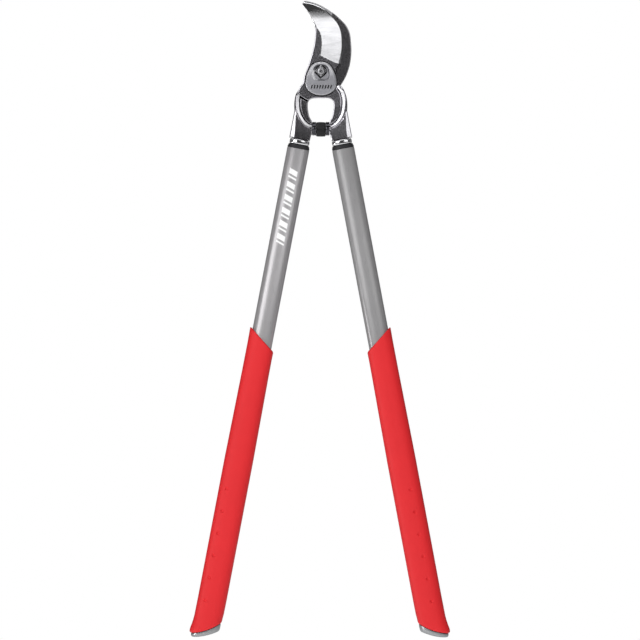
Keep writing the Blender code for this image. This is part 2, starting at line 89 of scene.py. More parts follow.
# Handles: a station is a distance down the handle's axis from the top of the tube, and out is a
# distance from that axis, away from the middle of the tool.
HANDLE_ANGLE = math.radians(10.71)
HANDLE_TOP = np.array([28.6, -64.8])
ALONG = np.array([math.sin(HANDLE_ANGLE), -math.cos(HANDLE_ANGLE)])
OUTWARD = np.array([math.cos(HANDLE_ANGLE), math.sin(HANDLE_ANGLE)])
TUBE_HALF = (14.2, 9.5)
TUBE_WALL = 1.6
TUBE_END = 600.0
TANG_HALF = (10.0, 5.5)
TANG_END = 52.0
SOCKET_END = -12.7
SQUARENESS = 2.6
FOOT_CURVE = 0.017
# Turns X and Z of the right side into those of the left.
LEFT = np.array([-1.0, 1.0])
RING_POINTS = 128

# The band printed on the left tube: stations, places across the tube, and bars within a pitch.
BAND_TOP = 27.0
BAND_PITCH = 16.8
BAND_REPEATS = 6
BAND_WIDTH = (-5.0, 5.8)
BAND_SLANT = 0.35
WIDE_BAR = (0.8, 7.6)
NARROW_BAR = (10.2, 12.6)

# The wear_and_highlight value at which metal is painted fully bright, for rubbed wear and for
# painted highlights; 1 and more is plain.
FULLY_BRIGHT = -0.6

# An outline point is X and Z, rounded through unless it is marked as a sharp corner.
SHARP = "sharp"
# A span between two points is this many times as long as the tangents at its rounded ends.
SPAN_PER_TANGENT = 2.56


# ---- outlines

def pivot_arc(radius, start, end):
    """Outline points on a circle round the pivot, between two angles in degrees from +X."""
    points, steps = [], 4
    for i in range(steps + 1):
        angle = math.radians(start + (end - start) * i / steps)
        corner = (SHARP,) if i in (0, steps) else ()
        points.append((radius * math.cos(angle), PIVOT_Z + radius * math.sin(angle), *corner))
    return points


def on_handle(station, out):
    """X and Z of a point on the right handle, as a corner of an outline."""
    x, z = HANDLE_TOP + ALONG * station + OUTWARD * out
    return (x, z, SHARP)


def trace(points, closed=True, step=0.7):
    """Samples an outline: cornered at its sharp points, rounded through the others."""
    places = [np.array(p[:2], float) for p in points]
    count = len(places)
    reach = []
    for i, here in enumerate(places):
        if len(points[i]) > 2 or (not closed and i in (0, count - 1)):
            reach.append(None)
            continue
        before, after = places[i - 1], places[(i + 1) % count]
        len_in, len_out = np.linalg.norm(here - before), np.linalg.norm(after - here)
        turn = (here - before) / len_in + (after - here) / len_out
        turn /= np.linalg.norm(turn) * SPAN_PER_TANGENT
        reach.append((here - turn * len_in, here + turn * len_out))
    samples = []
    for i in range(count if closed else count - 1):
        j = (i + 1) % count
        a, d = places[i], places[j]
        b = reach[i][1] if reach[i] else a + (d - a) / 3
        c = reach[j][0] if reach[j] else d + (a - d) / 3
        pieces = max(1, round(np.linalg.norm(d - a) / step))
        t = (np.arange(pieces) / pieces)[:, None]
        ends = (1 - t) ** 3 * a + t ** 3 * d
        samples.append(ends + 3 * (1 - t) ** 2 * t * b + 3 * (1 - t) * t * t * c)
    if not closed:
        samples.append(places[-1][None])
    return np.vstack(samples)


def mirror(points):
    """The same outline points on the left side, in the opposite order."""
    return [(-x, *rest) for x, *rest in reversed(points)]


CUTTING_EDGE = [
    (-21.6, 122.3, SHARP), (-6.0, 118.4), (12.2, 106.7), (23.8, 91.2), (27.2, 70.0), (25.9, 52.5),
    (24.2, 43.9, SHARP),
]
BLADE_NECK = [
    (19.2, 35.0), (19.6, 25.0), (21.4, 15.9, SHARP), (24.8, 15.6), (28.4, 11.8), (31.3, 5.6),
]
TANG_EDGE = [
    (33.2, -1.5), (33.9, -9.0), (33.6, -16.4, SHARP), (39.95, -50.0, SHARP), (40.0, -50.3, SHARP),
    on_handle(SOCKET_END, 10.0), on_handle(TANG_END - 6, 10.0), on_handle(TANG_END, 7.0),
    on_handle(TANG_END, -7.0), on_handle(TANG_END - 6, -10.0), on_handle(SOCKET_END, -10.0),
    (14.2, -55.3, SHARP), (12.4, -47.6, SHARP), (10.9, -46.2, SHARP), (10.9, -31.4, SHARP),
    (12.0, -28.6), (14.2, -24.6), (16.1, -16.0), (16.6, -9.0),
]
BLADE_BACK = [
    *pivot_arc(HEEL_RADIUS, -113, -133), (-28.8, 7.6, SHARP), (-26.8, 13.6), (-23.2, 18.0),
    (-21.0, 28.0), (-15.4, 43.2), (-10.2, 61.0), (-7.6, 76.0), (-7.4, 88.5), (-12.8, 103.0),
    (-24.4, 119.9, SHARP),
]
BLADE_OUTLINE = [
    *CUTTING_EDGE, *BLADE_NECK, *TANG_EDGE, (15.6, -4.0), (12.5, -1.2), (5.0, 0.0, SHARP),
    (-5.0, 0.0, SHARP), (-11.5, -0.9), *BLADE_BACK,
]
# The ground face of the blade ends on these lines: down its concave side, and above the pivot.
GROUND_LIMIT = [
    (-9.5, 92.5), (-6.4, 89.0), (-2.6, 84.6), (0.2, 74.0), (0.0, 63.0), (-1.6, 54.2, SHARP),
    (9.0, 48.6), (21.0, 43.9), (25.5, 43.7),
]
BEAD_PATH = [
    (23.2, 15.4), (27.2, 10.0), (30.0, 1.5), (30.6, -8.5), (29.2, -18.5), (25.0, -28.0),
    (19.2, -34.6), (12.0, -38.6),
]
SOCKET_FACE = [
    (36.5, -13.0, SHARP), (43.0, -49.8, SHARP), (13.6, -57.0, SHARP), (10.0, -44.0, SHARP),
    (13.5, -40.6, SHARP), (21.0, -36.0), (27.0, -29.0), (31.2, -19.0),
]
HOOK_OUTSIDE = [
    (-20.8, 124.2, SHARP), (-8.0, 121.2), (8.0, 113.4), (24.0, 101.2), (35.0, 87.6), (38.5, 70.0),
    (38.2, 50.0), (34.2, 33.2), (29.0, 22.0), (24.2, 14.4, SHARP),
]
HOOK_INSIDE = [
    (-9.0, 46.6), (5.0, 46.0), (15.5, 50.5), (21.2, 62.0), (21.8, 76.0), (17.6, 90.5),
    (6.0, 104.0), (-9.0, 114.4), (-23.4, 121.4, SHARP),
]
HOOK_OUTLINE = [
    *HOOK_OUTSIDE, (15.0, 4.4), (5.0, 0.0, SHARP), (-5.0, 0.0, SHARP), (-12.5, -1.2),
    (-15.6, -4.0), *mirror(TANG_EDGE), (-31.3, 5.6), (-26.4, 13.0), (-22.4, 19.0), (-20.0, 28.0),
    (-14.6, 42.0), *HOOK_INSIDE,
]
PLATE_OUTLINE = [
    (0.2, 45.8), (9.6, 43.0), (15.4, 35.6), (19.2, 24.0), (18.9, 13.6), (11.4, 6.0), (0.2, 3.3),
    (-11.0, 6.0), (-18.6, 13.6), (-18.9, 24.0), (-15.2, 35.6), (-9.3, 43.0),
]
RECESS_OUTLINE = [
    (0.3, 42.4), (7.2, 40.4), (10.6, 33.6), (10.6, 26.0), (7.0, 22.4), (0.3, 22.0), (-6.6, 22.4),
    (-10.2, 26.0), (-10.2, 33.6), (-6.8, 40.4),
]


# ---- fields over X and Z

def distance(points, line, closed=False):
    """Distance from each point to a finely sampled polyline."""
    count = len(line)
    tree = KDTree(count)
    for i, (x, z) in enumerate(line):
        tree.insert((x, z, 0), i)
    tree.balance()
    nearest = np.array([tree.find((x, z, 0))[1] for x, z in points])
    best = np.full(len(points), 1e9)
    for step in (-1, 0):
        first = (nearest + step) % count if closed else np.clip(nearest + step, 0, count - 2)
        start, end = line[first], line[(first + 1) % count]
        along = end - start
        length = np.maximum((along ** 2).sum(axis=1), 1e-12)
        t = np.clip(((points - start) * along).sum(axis=1) / length, 0, 1)
        best = np.minimum(best, np.linalg.norm(points - start - along * t[:, None], axis=1))
    return best


def inside(points, loop):
    """Whether each point lies within a closed loop."""
    x, z = points[:, 0][:, None], points[:, 1][:, None]
    ax, az = loop[:, 0], loop[:, 1]
    bx, bz = np.roll(ax, -1), np.roll(az, -1)
    crosses = (az > z) != (bz > z)
    reach = ax + (z - az) * (bx - ax) / np.where(bz == az, 1e-12, bz - az)
    return (crosses & (x < reach)).sum(axis=1) % 2 == 1


def ease(value, low, high):
    """0 below low, 1 above high, and smooth between."""
    t = np.clip((value - low) / (high - low), 0, 1)
    return t * t * (3 - 2 * t)


def edge_drop(gap, radius):
    """How far a rounded edge falls below the face, at a distance from the edge."""
    inset = np.clip(radius - gap, 0, radius)
    return radius - np.sqrt(radius ** 2 - inset ** 2)


def from_pivot(points):
    return np.hypot(points[:, 0], points[:, 1] - PIVOT_Z)


# ---- meshes

def finish_mesh(name, verts, faces, material, crease=38, attributes=None):
    """Makes a shaded object from points in millimetres; attributes are values per vertex."""
    mesh = bpy.data.meshes.new(name)
    mesh.from_pydata([tuple(v) for v in np.asarray(verts) * MM], [], faces)
    for key, values in (attributes or {}).items():
        layer = mesh.attributes.new(key, "FLOAT", "POINT")
        layer.data.foreach_set("value", np.asarray(values, dtype=np.float32))
    mesh.materials.append(material)
    mesh.shade_smooth()
    mesh.set_sharp_from_angle(angle=math.radians(crease))
    piece = bpy.data.objects.new(name, mesh)
    bpy.context.scene.collection.objects.link(piece)
    return piece


def offsets(loop, inset):
    """The loop moved inwards and outwards."""
    forward = np.roll(loop, -1, axis=0) - np.roll(loop, 1, axis=0)
    sideways = np.column_stack([forward[:, 1], -forward[:, 0]])
    sideways /= np.linalg.norm(sideways, axis=1)[:, None]
    return [loop + sideways * inset, loop - sideways * inset]


def in_solid(points, loops):
    """Whether each point lies within the first loop and outside the others, which are holes."""
    within = inside(points, loops[0])
    for hole in loops[1:]:
        within &= ~inside(points, hole)
    return within


def relief(name, loops, front, back, material, lines=(), step=0.7, masks=None, crease=38):
    """A solid between two height fields, Y at the front and back, over an outline with holes.

    lines are rows of extra points where a field steps; masks are stored for the material.
    """
    low, high = loops[0].min(axis=0), loops[0].max(axis=0)
    columns = np.arange(low[0], high[0], step)
    rows = np.arange(low[1], high[1], step * 0.87)
    grid = np.array([(x + step / 2 * (j % 2), z) for j, z in enumerate(rows) for x in columns])
    extra = [grid]
    for loop in loops:
        for inset in (0.12, 0.35, 0.7):
            for ring in offsets(loop, inset):
                extra.append(ring[distance(ring, loop, True) > inset * 0.9])
    wanted = np.vstack(extra)
    within = in_solid(wanted, loops)
    wanted = wanted[within]
    edge_gap = np.min([distance(wanted, loop, True) for loop in loops], axis=0)
    keep = edge_gap > 0.09
    in_grid = within[: len(grid)].sum()
    keep[:in_grid] &= edge_gap[:in_grid] > 0.95
    wanted = wanted[keep]
    for line in lines:
        wanted = wanted[distance(wanted, line) > 0.3 * step]
        line = line[inside(line, loops[0])]
        wanted = np.vstack([wanted, line[distance(line, loops[0], True) > 0.25]])

    ring_points, ring_edges = [], []
    for loop in loops:
        first = len(ring_points)
        ring_points.extend(loop)
        ring_edges.extend((first + i, first + (i + 1) % len(loop)) for i in range(len(loop)))
    flat = [Vector(p) for p in ring_points] + [Vector(p) for p in wanted]
    plan, _, triangles, *_ = delaunay_2d_cdt(flat, ring_edges, [], 0, 0.0001)
    plan = np.array([tuple(p) for p in plan])
    triangles = np.array([tuple(t) for t in triangles])
    triangles = triangles[in_solid(plan[triangles].mean(axis=1), loops)]
    a, b, c = plan[triangles].transpose(1, 0, 2)
    turn = (b[:, 0] - a[:, 0]) * (c[:, 1] - a[:, 1]) - (b[:, 1] - a[:, 1]) * (c[:, 0] - a[:, 0])
    triangles[turn < 0] = triangles[turn < 0][:, ::-1]

    used, renumbered = np.unique(triangles, return_inverse=True)
    plan, triangles = plan[used], renumbered.reshape(triangles.shape)
    count = len(plan)
    front_points = np.column_stack([plan[:, 0], front(plan), plan[:, 1]])
    back_points = np.column_stack([plan[:, 0], back(plan), plan[:, 1]])
    directed = {(t[i], t[(i + 1) % 3]) for t in triangles.tolist() for i in range(3)}
    faces = triangles.tolist() + (triangles[:, ::-1] + count).tolist()
    for start, end in sorted(directed):
        if (end, start) not in directed:
            faces.append([end, start, start + count, end + count])
    values = {key: np.tile(mask(plan), 2) for key, mask in (masks or {}).items()}
    verts = np.vstack([front_points, back_points])
    return finish_mesh(name, verts, faces, material, crease, values)


def oval(half_width, half_depth, count, squareness=SQUARENESS):
    """A ring of (across, depth) points, evenly spaced by angle."""
    angle = 2 * np.pi * np.arange(count) / count
    power = 2 / squareness
    across = half_width * np.sign(np.cos(angle)) * np.abs(np.cos(angle)) ** power
    depth = half_depth * np.sign(np.sin(angle)) * np.abs(np.sin(angle)) ** power
    return np.column_stack([across, depth])


def on_axis(side, station, out, depth):
    """Points on a handle: side is 1 for the right one and -1 for the left."""
    x = side * (HANDLE_TOP[0] + ALONG[0] * station + OUTWARD[0] * out)
    z = HANDLE_TOP[1] + ALONG[1] * station + OUTWARD[1] * out
    return np.column_stack([x, np.broadcast_to(depth, np.shape(x)), z])


def skin(rings, hollow, flip):
    """Faces over rings of equal size. A hollow skin joins the last ring to the first."""
    count, faces = len(rings[0]), []
    pairs = [(k, k + 1) for k in range(len(rings) - 1)]
    if hollow:
        pairs.append((len(rings) - 1, 0))
    for upper, lower in pairs:
        for i in range(count):
            j = (i + 1) % count
            quad = [upper * count + i, upper * count + j, lower * count + j, lower * count + i]
            faces.append(quad[::-1] if flip else quad)
    if not hollow:
        top = list(range(count))
        bottom = [(len(rings) - 1) * count + i for i in range(count)]
        faces.append(top[::-1] if not flip else top)
        faces.append(bottom if not flip else bottom[::-1])
    return faces


def ring_station(station, slope, out):
    """Station round a sloping ring. The rings at the foot also curve back towards both sides."""
    return station + slope * out - FOOT_CURVE * max(slope, 0) * out ** 2


def sleeve(name, side, stations, material, hollow=True, count=RING_POINTS, crease=38):
    """A piece lofted down a handle. Each ring: station, slope, offset, half width, half depth."""
    rings = []
    for station, slope, offset, half_width, half_depth in stations:
        ring = oval(half_width, half_depth, count)
        out = offset + ring[:, 0]
        rings.append(on_axis(side, ring_station(station, slope, out), out, ring[:, 1]))
    faces = skin(rings, hollow, side < 0)
    return finish_mesh(name, np.vstack(rings), faces, material, crease)


def lathe(name, profile, closed, material, place, count=72, crease=30, turn=0.0):
    """A turned piece: each profile point is a radius, a height on local Z and maybe a half side.

    A half side trims the round to a square, which turns with the piece.
    """
    angle = 2 * np.pi * np.arange(count) / count
    flat = 1 / np.maximum(np.abs(np.cos(angle + turn)), np.abs(np.sin(angle + turn)))
    rings = []
    for radius, height, *half_side in profile:
        reach = np.full(count, float(radius))
        if half_side:
            reach = np.minimum(reach, flat * half_side[0])
        x, y = reach * np.cos(angle), reach * np.sin(angle)
        rings.append(np.column_stack([x, y, np.full(count, height)]))
    piece = finish_mesh(name, np.vstack(rings), skin(rings, closed, False), material, crease)
    piece.data.transform(place)
    shape = bmesh.new()
    shape.from_mesh(piece.data)
    bmesh.ops.recalc_face_normals(shape, faces=shape.faces)
    shape.to_mesh(piece.data)
    shape.free()
    return piece


def to_front(y=0.0):
    """Places a lathe piece on the pivot's axis with its local +Z towards the front."""
    place = Matrix.Translation(Vector((0, y, PIVOT_Z)) * MM)
    return place @ Matrix.Rotation(math.pi / 2, 4, "X")


def across(z):
    """Places a lathe piece along X at a height."""
    return Matrix.Translation((0, 0, z * MM)) @ Matrix.Rotation(math.pi / 2, 4, "Y")


# ---- materials

def fill(tree, made, inputs):
    """Links a node's inputs to sockets, or sets them to values."""
    for key, value in inputs.items():
        if isinstance(value, bpy.types.NodeSocket):
            tree.links.new(value, made.inputs[key])
        else:
            made.inputs[key].default_value = value


def node_maker(tree):
    """A function that adds a node to a tree and fills its inputs."""
    def node(kind, inputs=None, **settings):
        made = tree.nodes.new(kind)
        for key, value in settings.items():
            setattr(made, key, value)
        fill(tree, made, inputs or {})
        return made

    return node


def new_material(name):
    """A Principled material; returns it, its node maker, and a function that fills its surface."""
    material = bpy.data.materials.new(name)
    material.use_nodes = True
    tree = material.node_tree
    surface = tree.nodes["Principled BSDF"]
    return material, node_maker(tree), lambda key, value: fill(tree, surface, {key: value})


def place_coordinates(node, scale=(1, 1, 1), turn=0.0):
    """Object coordinates in metres, stretched and turned about Y."""
    here = node("ShaderNodeTexCoord").outputs["Object"]
    inputs = {"Vector": here, "Scale": scale, "Rotation": (0, turn, 0)}
    return node("ShaderNodeMapping", inputs).outputs["Vector"]


def noise(node, vector, scale, detail=3.0, roughness=0.55):
    settings = {"Vector": vector, "Scale": scale, "Detail": detail, "Roughness": roughness}
    return node("ShaderNodeTexNoise", settings).outputs["Fac"]


def remap(node, value, low, high, to_low, to_high):
    settings = {
        "Value": value, "From Min": low, "From Max": high, "To Min": to_low, "To Max": to_high,
    }
    return node("ShaderNodeMapRange", settings).outputs["Result"]


def mix_colour(node, factor, first, second):
    """Blends two colours, each a socket or red, green and blue."""
    inputs = {0: factor}
    for key, colour in ((6, first), (7, second)):
        inputs[key] = colour if isinstance(colour, bpy.types.NodeSocket) else (*colour, 1.0)
    return node("ShaderNodeMix", inputs, data_type="RGBA").outputs[2]


def mix_value(node, factor, first, second):
    return node("ShaderNodeMix", {0: factor, 2: first, 3: second}, data_type="FLOAT").outputs[0]


def compute(node, operation, *values):
    return node("ShaderNodeMath", dict(enumerate(values)), operation=operation).outputs[0]


def shades(node, factor, colour, dark, light):
    """A colour that varies between a darker and a lighter multiple of itself."""
    return mix_colour(node, factor, [c * dark for c in colour], [min(1, c * light) for c in colour])


def bump(node, height, strength, size):
    """A bump of the given depth in millimetres."""
    settings = {"Height": height, "Strength": strength, "Distance": size * MM}
    return node("ShaderNodeBump", settings).outputs["Normal"]


def attribute(node, name):
    return node("ShaderNodeAttribute", attribute_name=name).outputs["Fac"]


def plain_metal(name, colour, roughness, spread=0.06, grain=(1, 1, 1), grain_scale=900):
    """Bare or plated metal with fine grain in its roughness and bump."""
    material, node, wire = new_material(name)
    fine = noise(node, place_coordinates(node, grain), grain_scale, 4)
    cloudy = noise(node, place_coordinates(node), 45, 2)
    wire("Base Color", shades(node, cloudy, colour, 0.88, 1.1))
    wire("Roughness", remap(node, fine, 0.25, 0.75, roughness - spread, roughness + spread))
    wire("Normal", bump(node, fine, 0.25, 0.05))
    wire("Metallic", 1.0)
    return material


def engraved_metal(name, colour, roughness):
    """Satin metal with fine grain, dark at the bottom of its engraving and where the nut's shadow
    is painted; painted bright where it is rubbed and where highlights are painted.
    """
    material, node, wire = new_material(name)
    here = place_coordinates(node)
    fine = noise(node, here, 1100, 4)
    cloudy = noise(node, here, 70, 3)
    tone = shades(node, cloudy, colour, 0.82, 1.15)
    # Painted bright, lighter and less metallic: rubbed wear at the edges, and painted highlights on
    # the top rim and recess wall.
    brightened = remap(node, attribute(node, "wear_and_highlight"), FULLY_BRIGHT, 1.0, 1.0, 0.0)
    tone = mix_colour(node, brightened, tone, (0.9, 0.9, 0.92))
    wire("Metallic", mix_value(node, brightened, 0.6, 0.0))
    mask = remap(node, attribute(node, "engraving_and_shadow"), -0.2, 0.1, 0.0, 1.0)
    # Near black in the engraved bars, and as painted shadow under the nut's lower sides.
    wire("Base Color", mix_colour(node, mask, tone, (0.012, 0.012, 0.013)))
    wire("Roughness", remap(node, fine, 0.25, 0.75, roughness - 0.07, roughness + 0.07))
    wire("Normal", bump(node, fine, 0.4, 0.06))
    return material


def forged_material(name, coating, rough_low, edge_wear, bright_colour):
    """Dark coated forging with a fine pitted skin; ground parts are bright and finely scratched.
    Shade is painted near black in grooves and gaps, and highlights are painted as lighter
    bare-looking metal.
    """
    material, node, wire = new_material(name)
    here = place_coordinates(node)
    pits = noise(node, here, 1500, 5, 0.6)
    cloudy = noise(node, here, 60, 3)
    colour = shades(node, cloudy, coating, 0.8, 1.25)
    brightened = remap(node, attribute(node, "wear_and_highlight"), 0.1, 0.6, edge_wear, 0.0)
    colour = mix_colour(node, brightened, colour, (0.55, 0.55, 0.56))
    # Painted shade: near black where the painted_shade mask is set, in grooves, seams and gaps
    # between parts.
    colour = mix_colour(node, attribute(node, "painted_shade"), colour, (0.01, 0.01, 0.011))
    rough = remap(node, pits, 0.3, 0.7, rough_low, rough_low + 0.1)
    # Painted highlight: lighter, less metallic colour on bead crests and socket bevels; real bare
    # steel at the hook's tip.
    bare_and_highlight = attribute(node, "bare_and_highlight")
    bare_and_highlight_colour = mix_colour(node, cloudy, (0.66, 0.66, 0.68), (0.8, 0.8, 0.82))
    colour = mix_colour(node, bare_and_highlight, colour, bare_and_highlight_colour)
    wire("Metallic", mix_value(node, bare_and_highlight, 1.0, 0.35))
    normal = bump(node, pits, 0.25, 0.03)
    scratches = noise(node, place_coordinates(node, (0.06, 1, 1), 0.5), 2600, 3)
    broad = noise(node, place_coordinates(node, (0.25, 1, 1), 0.5), 160, 2)
    bright = shades(node, remap(node, broad, 0.35, 0.65, 0.0, 1.0), bright_colour, 0.86, 1.0)
    mask = remap(node, attribute(node, "ground"), -0.15, 0.15, 0.0, 1.0)
    colour = mix_colour(node, mask, colour, bright)
    rough = mix_value(node, mask, rough, remap(node, scratches, 0.3, 0.7, 0.11, 0.18))
    blend = {0: mask, 4: normal, 5: bump(node, scratches, 0.15, 0.02)}
    wire("Base Color", colour)
    wire("Roughness", rough)
    wire("Normal", node("ShaderNodeMix", blend, data_type="VECTOR").outputs[1])
    return material


def plastic_material(name, colour, roughness, pebble_scale, depth, tone=0.12):
    """Moulded plastic or rubber: fine pebbled skin and faint flow clouds."""
    material, node, wire = new_material(name)
    here = place_coordinates(node)
    pebble = noise(node, here, pebble_scale, 3, 0.5)
    cloudy = noise(node, here, 22, 2)
    wire("Base Color", shades(node, cloudy, colour, 1 - tone, 1 + tone))
    wire("Roughness", remap(node, pebble, 0.3, 0.7, roughness - 0.07, roughness + 0.07))
    wire("Normal", bump(node, pebble, 0.4, depth))
    wire("Specular IOR Level", 0.3)
    return material


def handle_measure(node, axis):
    """Distance in millimetres along an axis, X and Z, from the top of the left handle's tube."""
    here = node("ShaderNodeTexCoord").outputs["Object"]
    way = {0: here, 1: (axis[0], 0, axis[1])}
    along = node("ShaderNodeVectorMath", way, operation="DOT_PRODUCT").outputs["Value"]
    return compute(node, "MULTIPLY_ADD", along, 1 / MM, -float(HANDLE_TOP * LEFT @ axis))


def window(node, value, low, high):
    """1 between two limits in millimetres and 0 outside them, with a soft edge."""
    rise = remap(node, value, low - 0.15, low + 0.15, 0.0, 1.0)
    fall = remap(node, value, high - 0.15, high + 0.15, 1.0, 0.0)
    return compute(node, "MULTIPLY", rise, fall)


def printed_band(node):
    """Mask of the band printed on the left tube: slanted bars, wide and narrow in turn."""
    station = handle_measure(node, ALONG * LEFT)
    out = handle_measure(node, OUTWARD * LEFT)
    slanted = compute(node, "MULTIPLY_ADD", out, BAND_SLANT, station)
    phase = compute(node, "MODULO", compute(node, "SUBTRACT", slanted, BAND_TOP), BAND_PITCH)
    bars = compute(node, "ADD", window(node, phase, *WIDE_BAR), window(node, phase, *NARROW_BAR))
    length = window(node, slanted, BAND_TOP, BAND_TOP + BAND_PITCH * BAND_REPEATS)
    within = compute(node, "MULTIPLY", window(node, out, *BAND_WIDTH), length)
    here = node("ShaderNodeTexCoord").outputs["Object"]
    depth = node("ShaderNodeSeparateXYZ", {0: here}).outputs["Y"]
    facing = remap(node, depth, -0.2 * MM, 0.2 * MM, 1.0, 0.0)
    return compute(node, "MULTIPLY", bars, compute(node, "MULTIPLY", within, facing))


def tube_material(name, colour, marked):
    """Satin grey tube with drawn lines along it; the marked one carries the printed band, and the
    other is the same metal made darker and less metallic as painted shade.
    """
    material, node, wire = new_material(name)
    turn = HANDLE_ANGLE if marked else -HANDLE_ANGLE
    lines = noise(node, place_coordinates(node, (1, 1, 0.015), turn), 2200, 3)
    cloudy = noise(node, place_coordinates(node), 30, 2)
    tone = shades(node, cloudy, colour, 0.93, 1.06)
    rough = remap(node, lines, 0.3, 0.7, 0.27, 0.33)
    if marked:
        mask = printed_band(node)
        tone = mix_colour(node, mask, tone, (0.93, 0.93, 0.93))
        rough = mix_value(node, mask, rough, 0.5)
        wire("Metallic", mix_value(node, mask, 0.55, 0.0))
    # The unmarked tube is less metallic: part of its painted shade.
    else:
        wire("Metallic", 0.3)
    wire("Base Color", tone)
    wire("Roughness", rough)
    wire("Normal", bump(node, lines, 0.02, 0.03))
    return material


# ---- head

def bead_groove(points):
    """1 along the groove inside the bead, 0 away from it."""
    gap = distance(points, bead_line)
    near = np.exp(-((gap - BEAD_WIDTH - 0.45) / 0.6) ** 2)
    return near * inside(points, bead_inside) * ease(points[:, 1], *BEAD_RISE)


def heel_seam(points):
    """1 along the hook's shoulder, where the blade's heel stops against it."""
    gap = from_pivot(points) - SHOULDER_RADIUS
    return (1 - ease(gap, 1.4, 2.0)) * (gap > -0.12) * (points[:, 0] < 0) * (points[:, 1] < 12)


def handle_place(points):
    """Station and distance out from the axis, of points on the right handle."""
    return (points - HANDLE_TOP) @ ALONG, (points - HANDLE_TOP) @ OUTWARD


def tang_height(points):
    """Height of a tang above Y = 0 on either face, for the right side: web, bead and socket.

    The bead has a flat inner slope and a rounded outer one, with its crest on BEAD_PATH. Below the
    socket the tang is a flat oval. The boss behind the rubber block is round about the X axis.
    """
    gap = distance(points, bead_line)
    inner = inside(points, bead_inside)
    web = GAP / 2 + BLADE_THICKNESS + 0.25 * ease(points[:, 1], -2.0, -12.0)
    web = np.where(inner, web - GROOVE_DEPTH * bead_groove(points), 0.7 * WEB_HEIGHT)
    top = WEB_HEIGHT + (BEAD_HEIGHT - WEB_HEIGHT) * ease(points[:, 1], 17.0, 8.0)
    slope = top - BEAD_SLOPE * gap
    bead_inner = slope + (web - slope) * ease(gap, BEAD_WIDTH - 0.45, BEAD_WIDTH + 0.35)
    bead_outer = top - gap ** 2 / 6.0
    bead = np.where(inner, bead_inner, np.where(gap < BEAD_WIDTH + 1.5, bead_outer, 0))
    station, out = handle_place(points)
    face = SOCKET_LOW + (SOCKET_HEIGHT - SOCKET_LOW) * ease(station, -50, -18)
    bevel = 1.6 + 3.6 * ease(station, -50, -14)
    face = face - 0.24 * np.clip(bevel - (13.4 - out), 0, 9)
    socket = np.where(inside(points, socket_face), face, 0)
    boss = np.sqrt(np.clip(BOSS_RADIUS ** 2 - (points[:, 1] - BUMPER_Z) ** 2, 0, None))
    boss *= ease(17.9 - points[:, 0], 0, 3.0)
    height = np.maximum.reduce([web, bead, socket, boss])
    tongue = ease(station, SOCKET_END - 0.2, SOCKET_END + 0.2)
    flat_oval = np.clip(1 - np.abs(np.clip(out, -9.99, 9.99) / TANG_HALF[0]) ** SQUARENESS, 0, 1)
    flat_oval = TANG_HALF[1] * flat_oval ** (1 / SQUARENESS)
    return height * (1 - tongue) + flat_oval * tongue


def thick_tang(points):
    """Where a forging has its full depth on both faces, below the other jaw's flat."""
    return (from_pivot(points) > SHOULDER_RADIUS - 0.1) & (points[:, 1] < 30)


def head_round(points, outline, radius):
    return edge_drop(distance(points, outline, True), radius)


def blade_front(points):
    """The ground face thins towards the cutting edge, which is level with the back of the blade."""
    gap = distance(points, blade_line, True)
    plain = GAP / 2 + BLADE_THICKNESS
    tang = (points[:, 1] < 17) & (points[:, 0] > 14)
    heel = (points[:, 1] < -2) & (points[:, 0] > 0)
    height = np.where(tang | heel, tang_height(points), plain)
    depth_in = ground_depth(points)
    edge_gap = distance(points, cutting_line)
    edge_x, edge_z = cutting_line[::-1].T
    edge_here = np.interp(np.maximum(points[:, 1], 68.0), edge_z, edge_x)
    across_gap = np.maximum(edge_here - points[:, 0], 0)
    across_gap = np.minimum(across_gap, 2.2 * edge_gap + 3.0 * (points[:, 1] < 90))
    thickness = 0.45 + 0.125 * across_gap
    thickness = np.minimum(thickness, 0.15 + 0.55 * edge_gap)
    ground_height = GAP / 2 + np.minimum(thickness, BLADE_THICKNESS - 0.35)
    height = height + (ground_height - height) * ease(depth_in, 0.0, 0.4)
    crisp = (depth_in > 0) | ((points[:, 0] > 10) & (points[:, 1] > 12))
    rounding = np.where(crisp, 0.2, 0.6)
    return -(height - edge_drop(gap, 0.8) * rounding)


def blade_back(points):
    tang = tang_height(points) - head_round(points, blade_line, 1.0)
    return np.where(thick_tang(points), tang, -GAP / 2)


def hook_front(points):
    tang = tang_height(points * LEFT) - head_round(points, hook_line, 1.0)
    flat = -GAP / 2 - 0.5 * head_round(points, hook_line, 0.8)
    return -np.where(thick_tang(points), tang - 0.9 * heel_seam(points), flat)


def hook_back(points):
    tang = tang_height(points * LEFT)
    plain = GAP / 2 + HOOK_THICKNESS
    jaw_gap = distance(points, hook_inside_line)
    thinned = plain - 2.6 * (1 - ease(jaw_gap, 0.0, 9.0)) * ease(points[:, 1], 44, 56)
    height = np.where(thick_tang(points), tang, thinned)
    return height - head_round(points, hook_line, 1.3)


def ground_depth(points):
    """Signed distance into the blade's ground face; positive is ground."""
    gap = distance(points, ground_line)
    return np.where(inside(points, ground_area), gap, -gap)


def blade_painted_shade(points):
    """1 where shade is painted black on the blade: in its groove, round the cover plate, where it
    meets the hook and in the gap above the chrome band.
    """
    gap = distance(points, plate_line, True)
    round_plate = (1 - ease(gap, 0.9, 1.5)) * (points[:, 1] > 2)
    contact = (points[:, 0] > 15) & (points[:, 1] > 16) & (points[:, 1] < 43.4)
    beside_hook = contact * (1 - ease(distance(points, blade_line, True), 0.3, 1.0))
    return np.maximum.reduce([bead_groove(points), round_plate, beside_hook, socket_gap(points)])


def hook_ground(points):
    """Signed distance, scaled down, into the ground end of the hook."""
    return 7.0 - 0.25 * np.hypot(points[:, 0] + 12, points[:, 1] - 122)


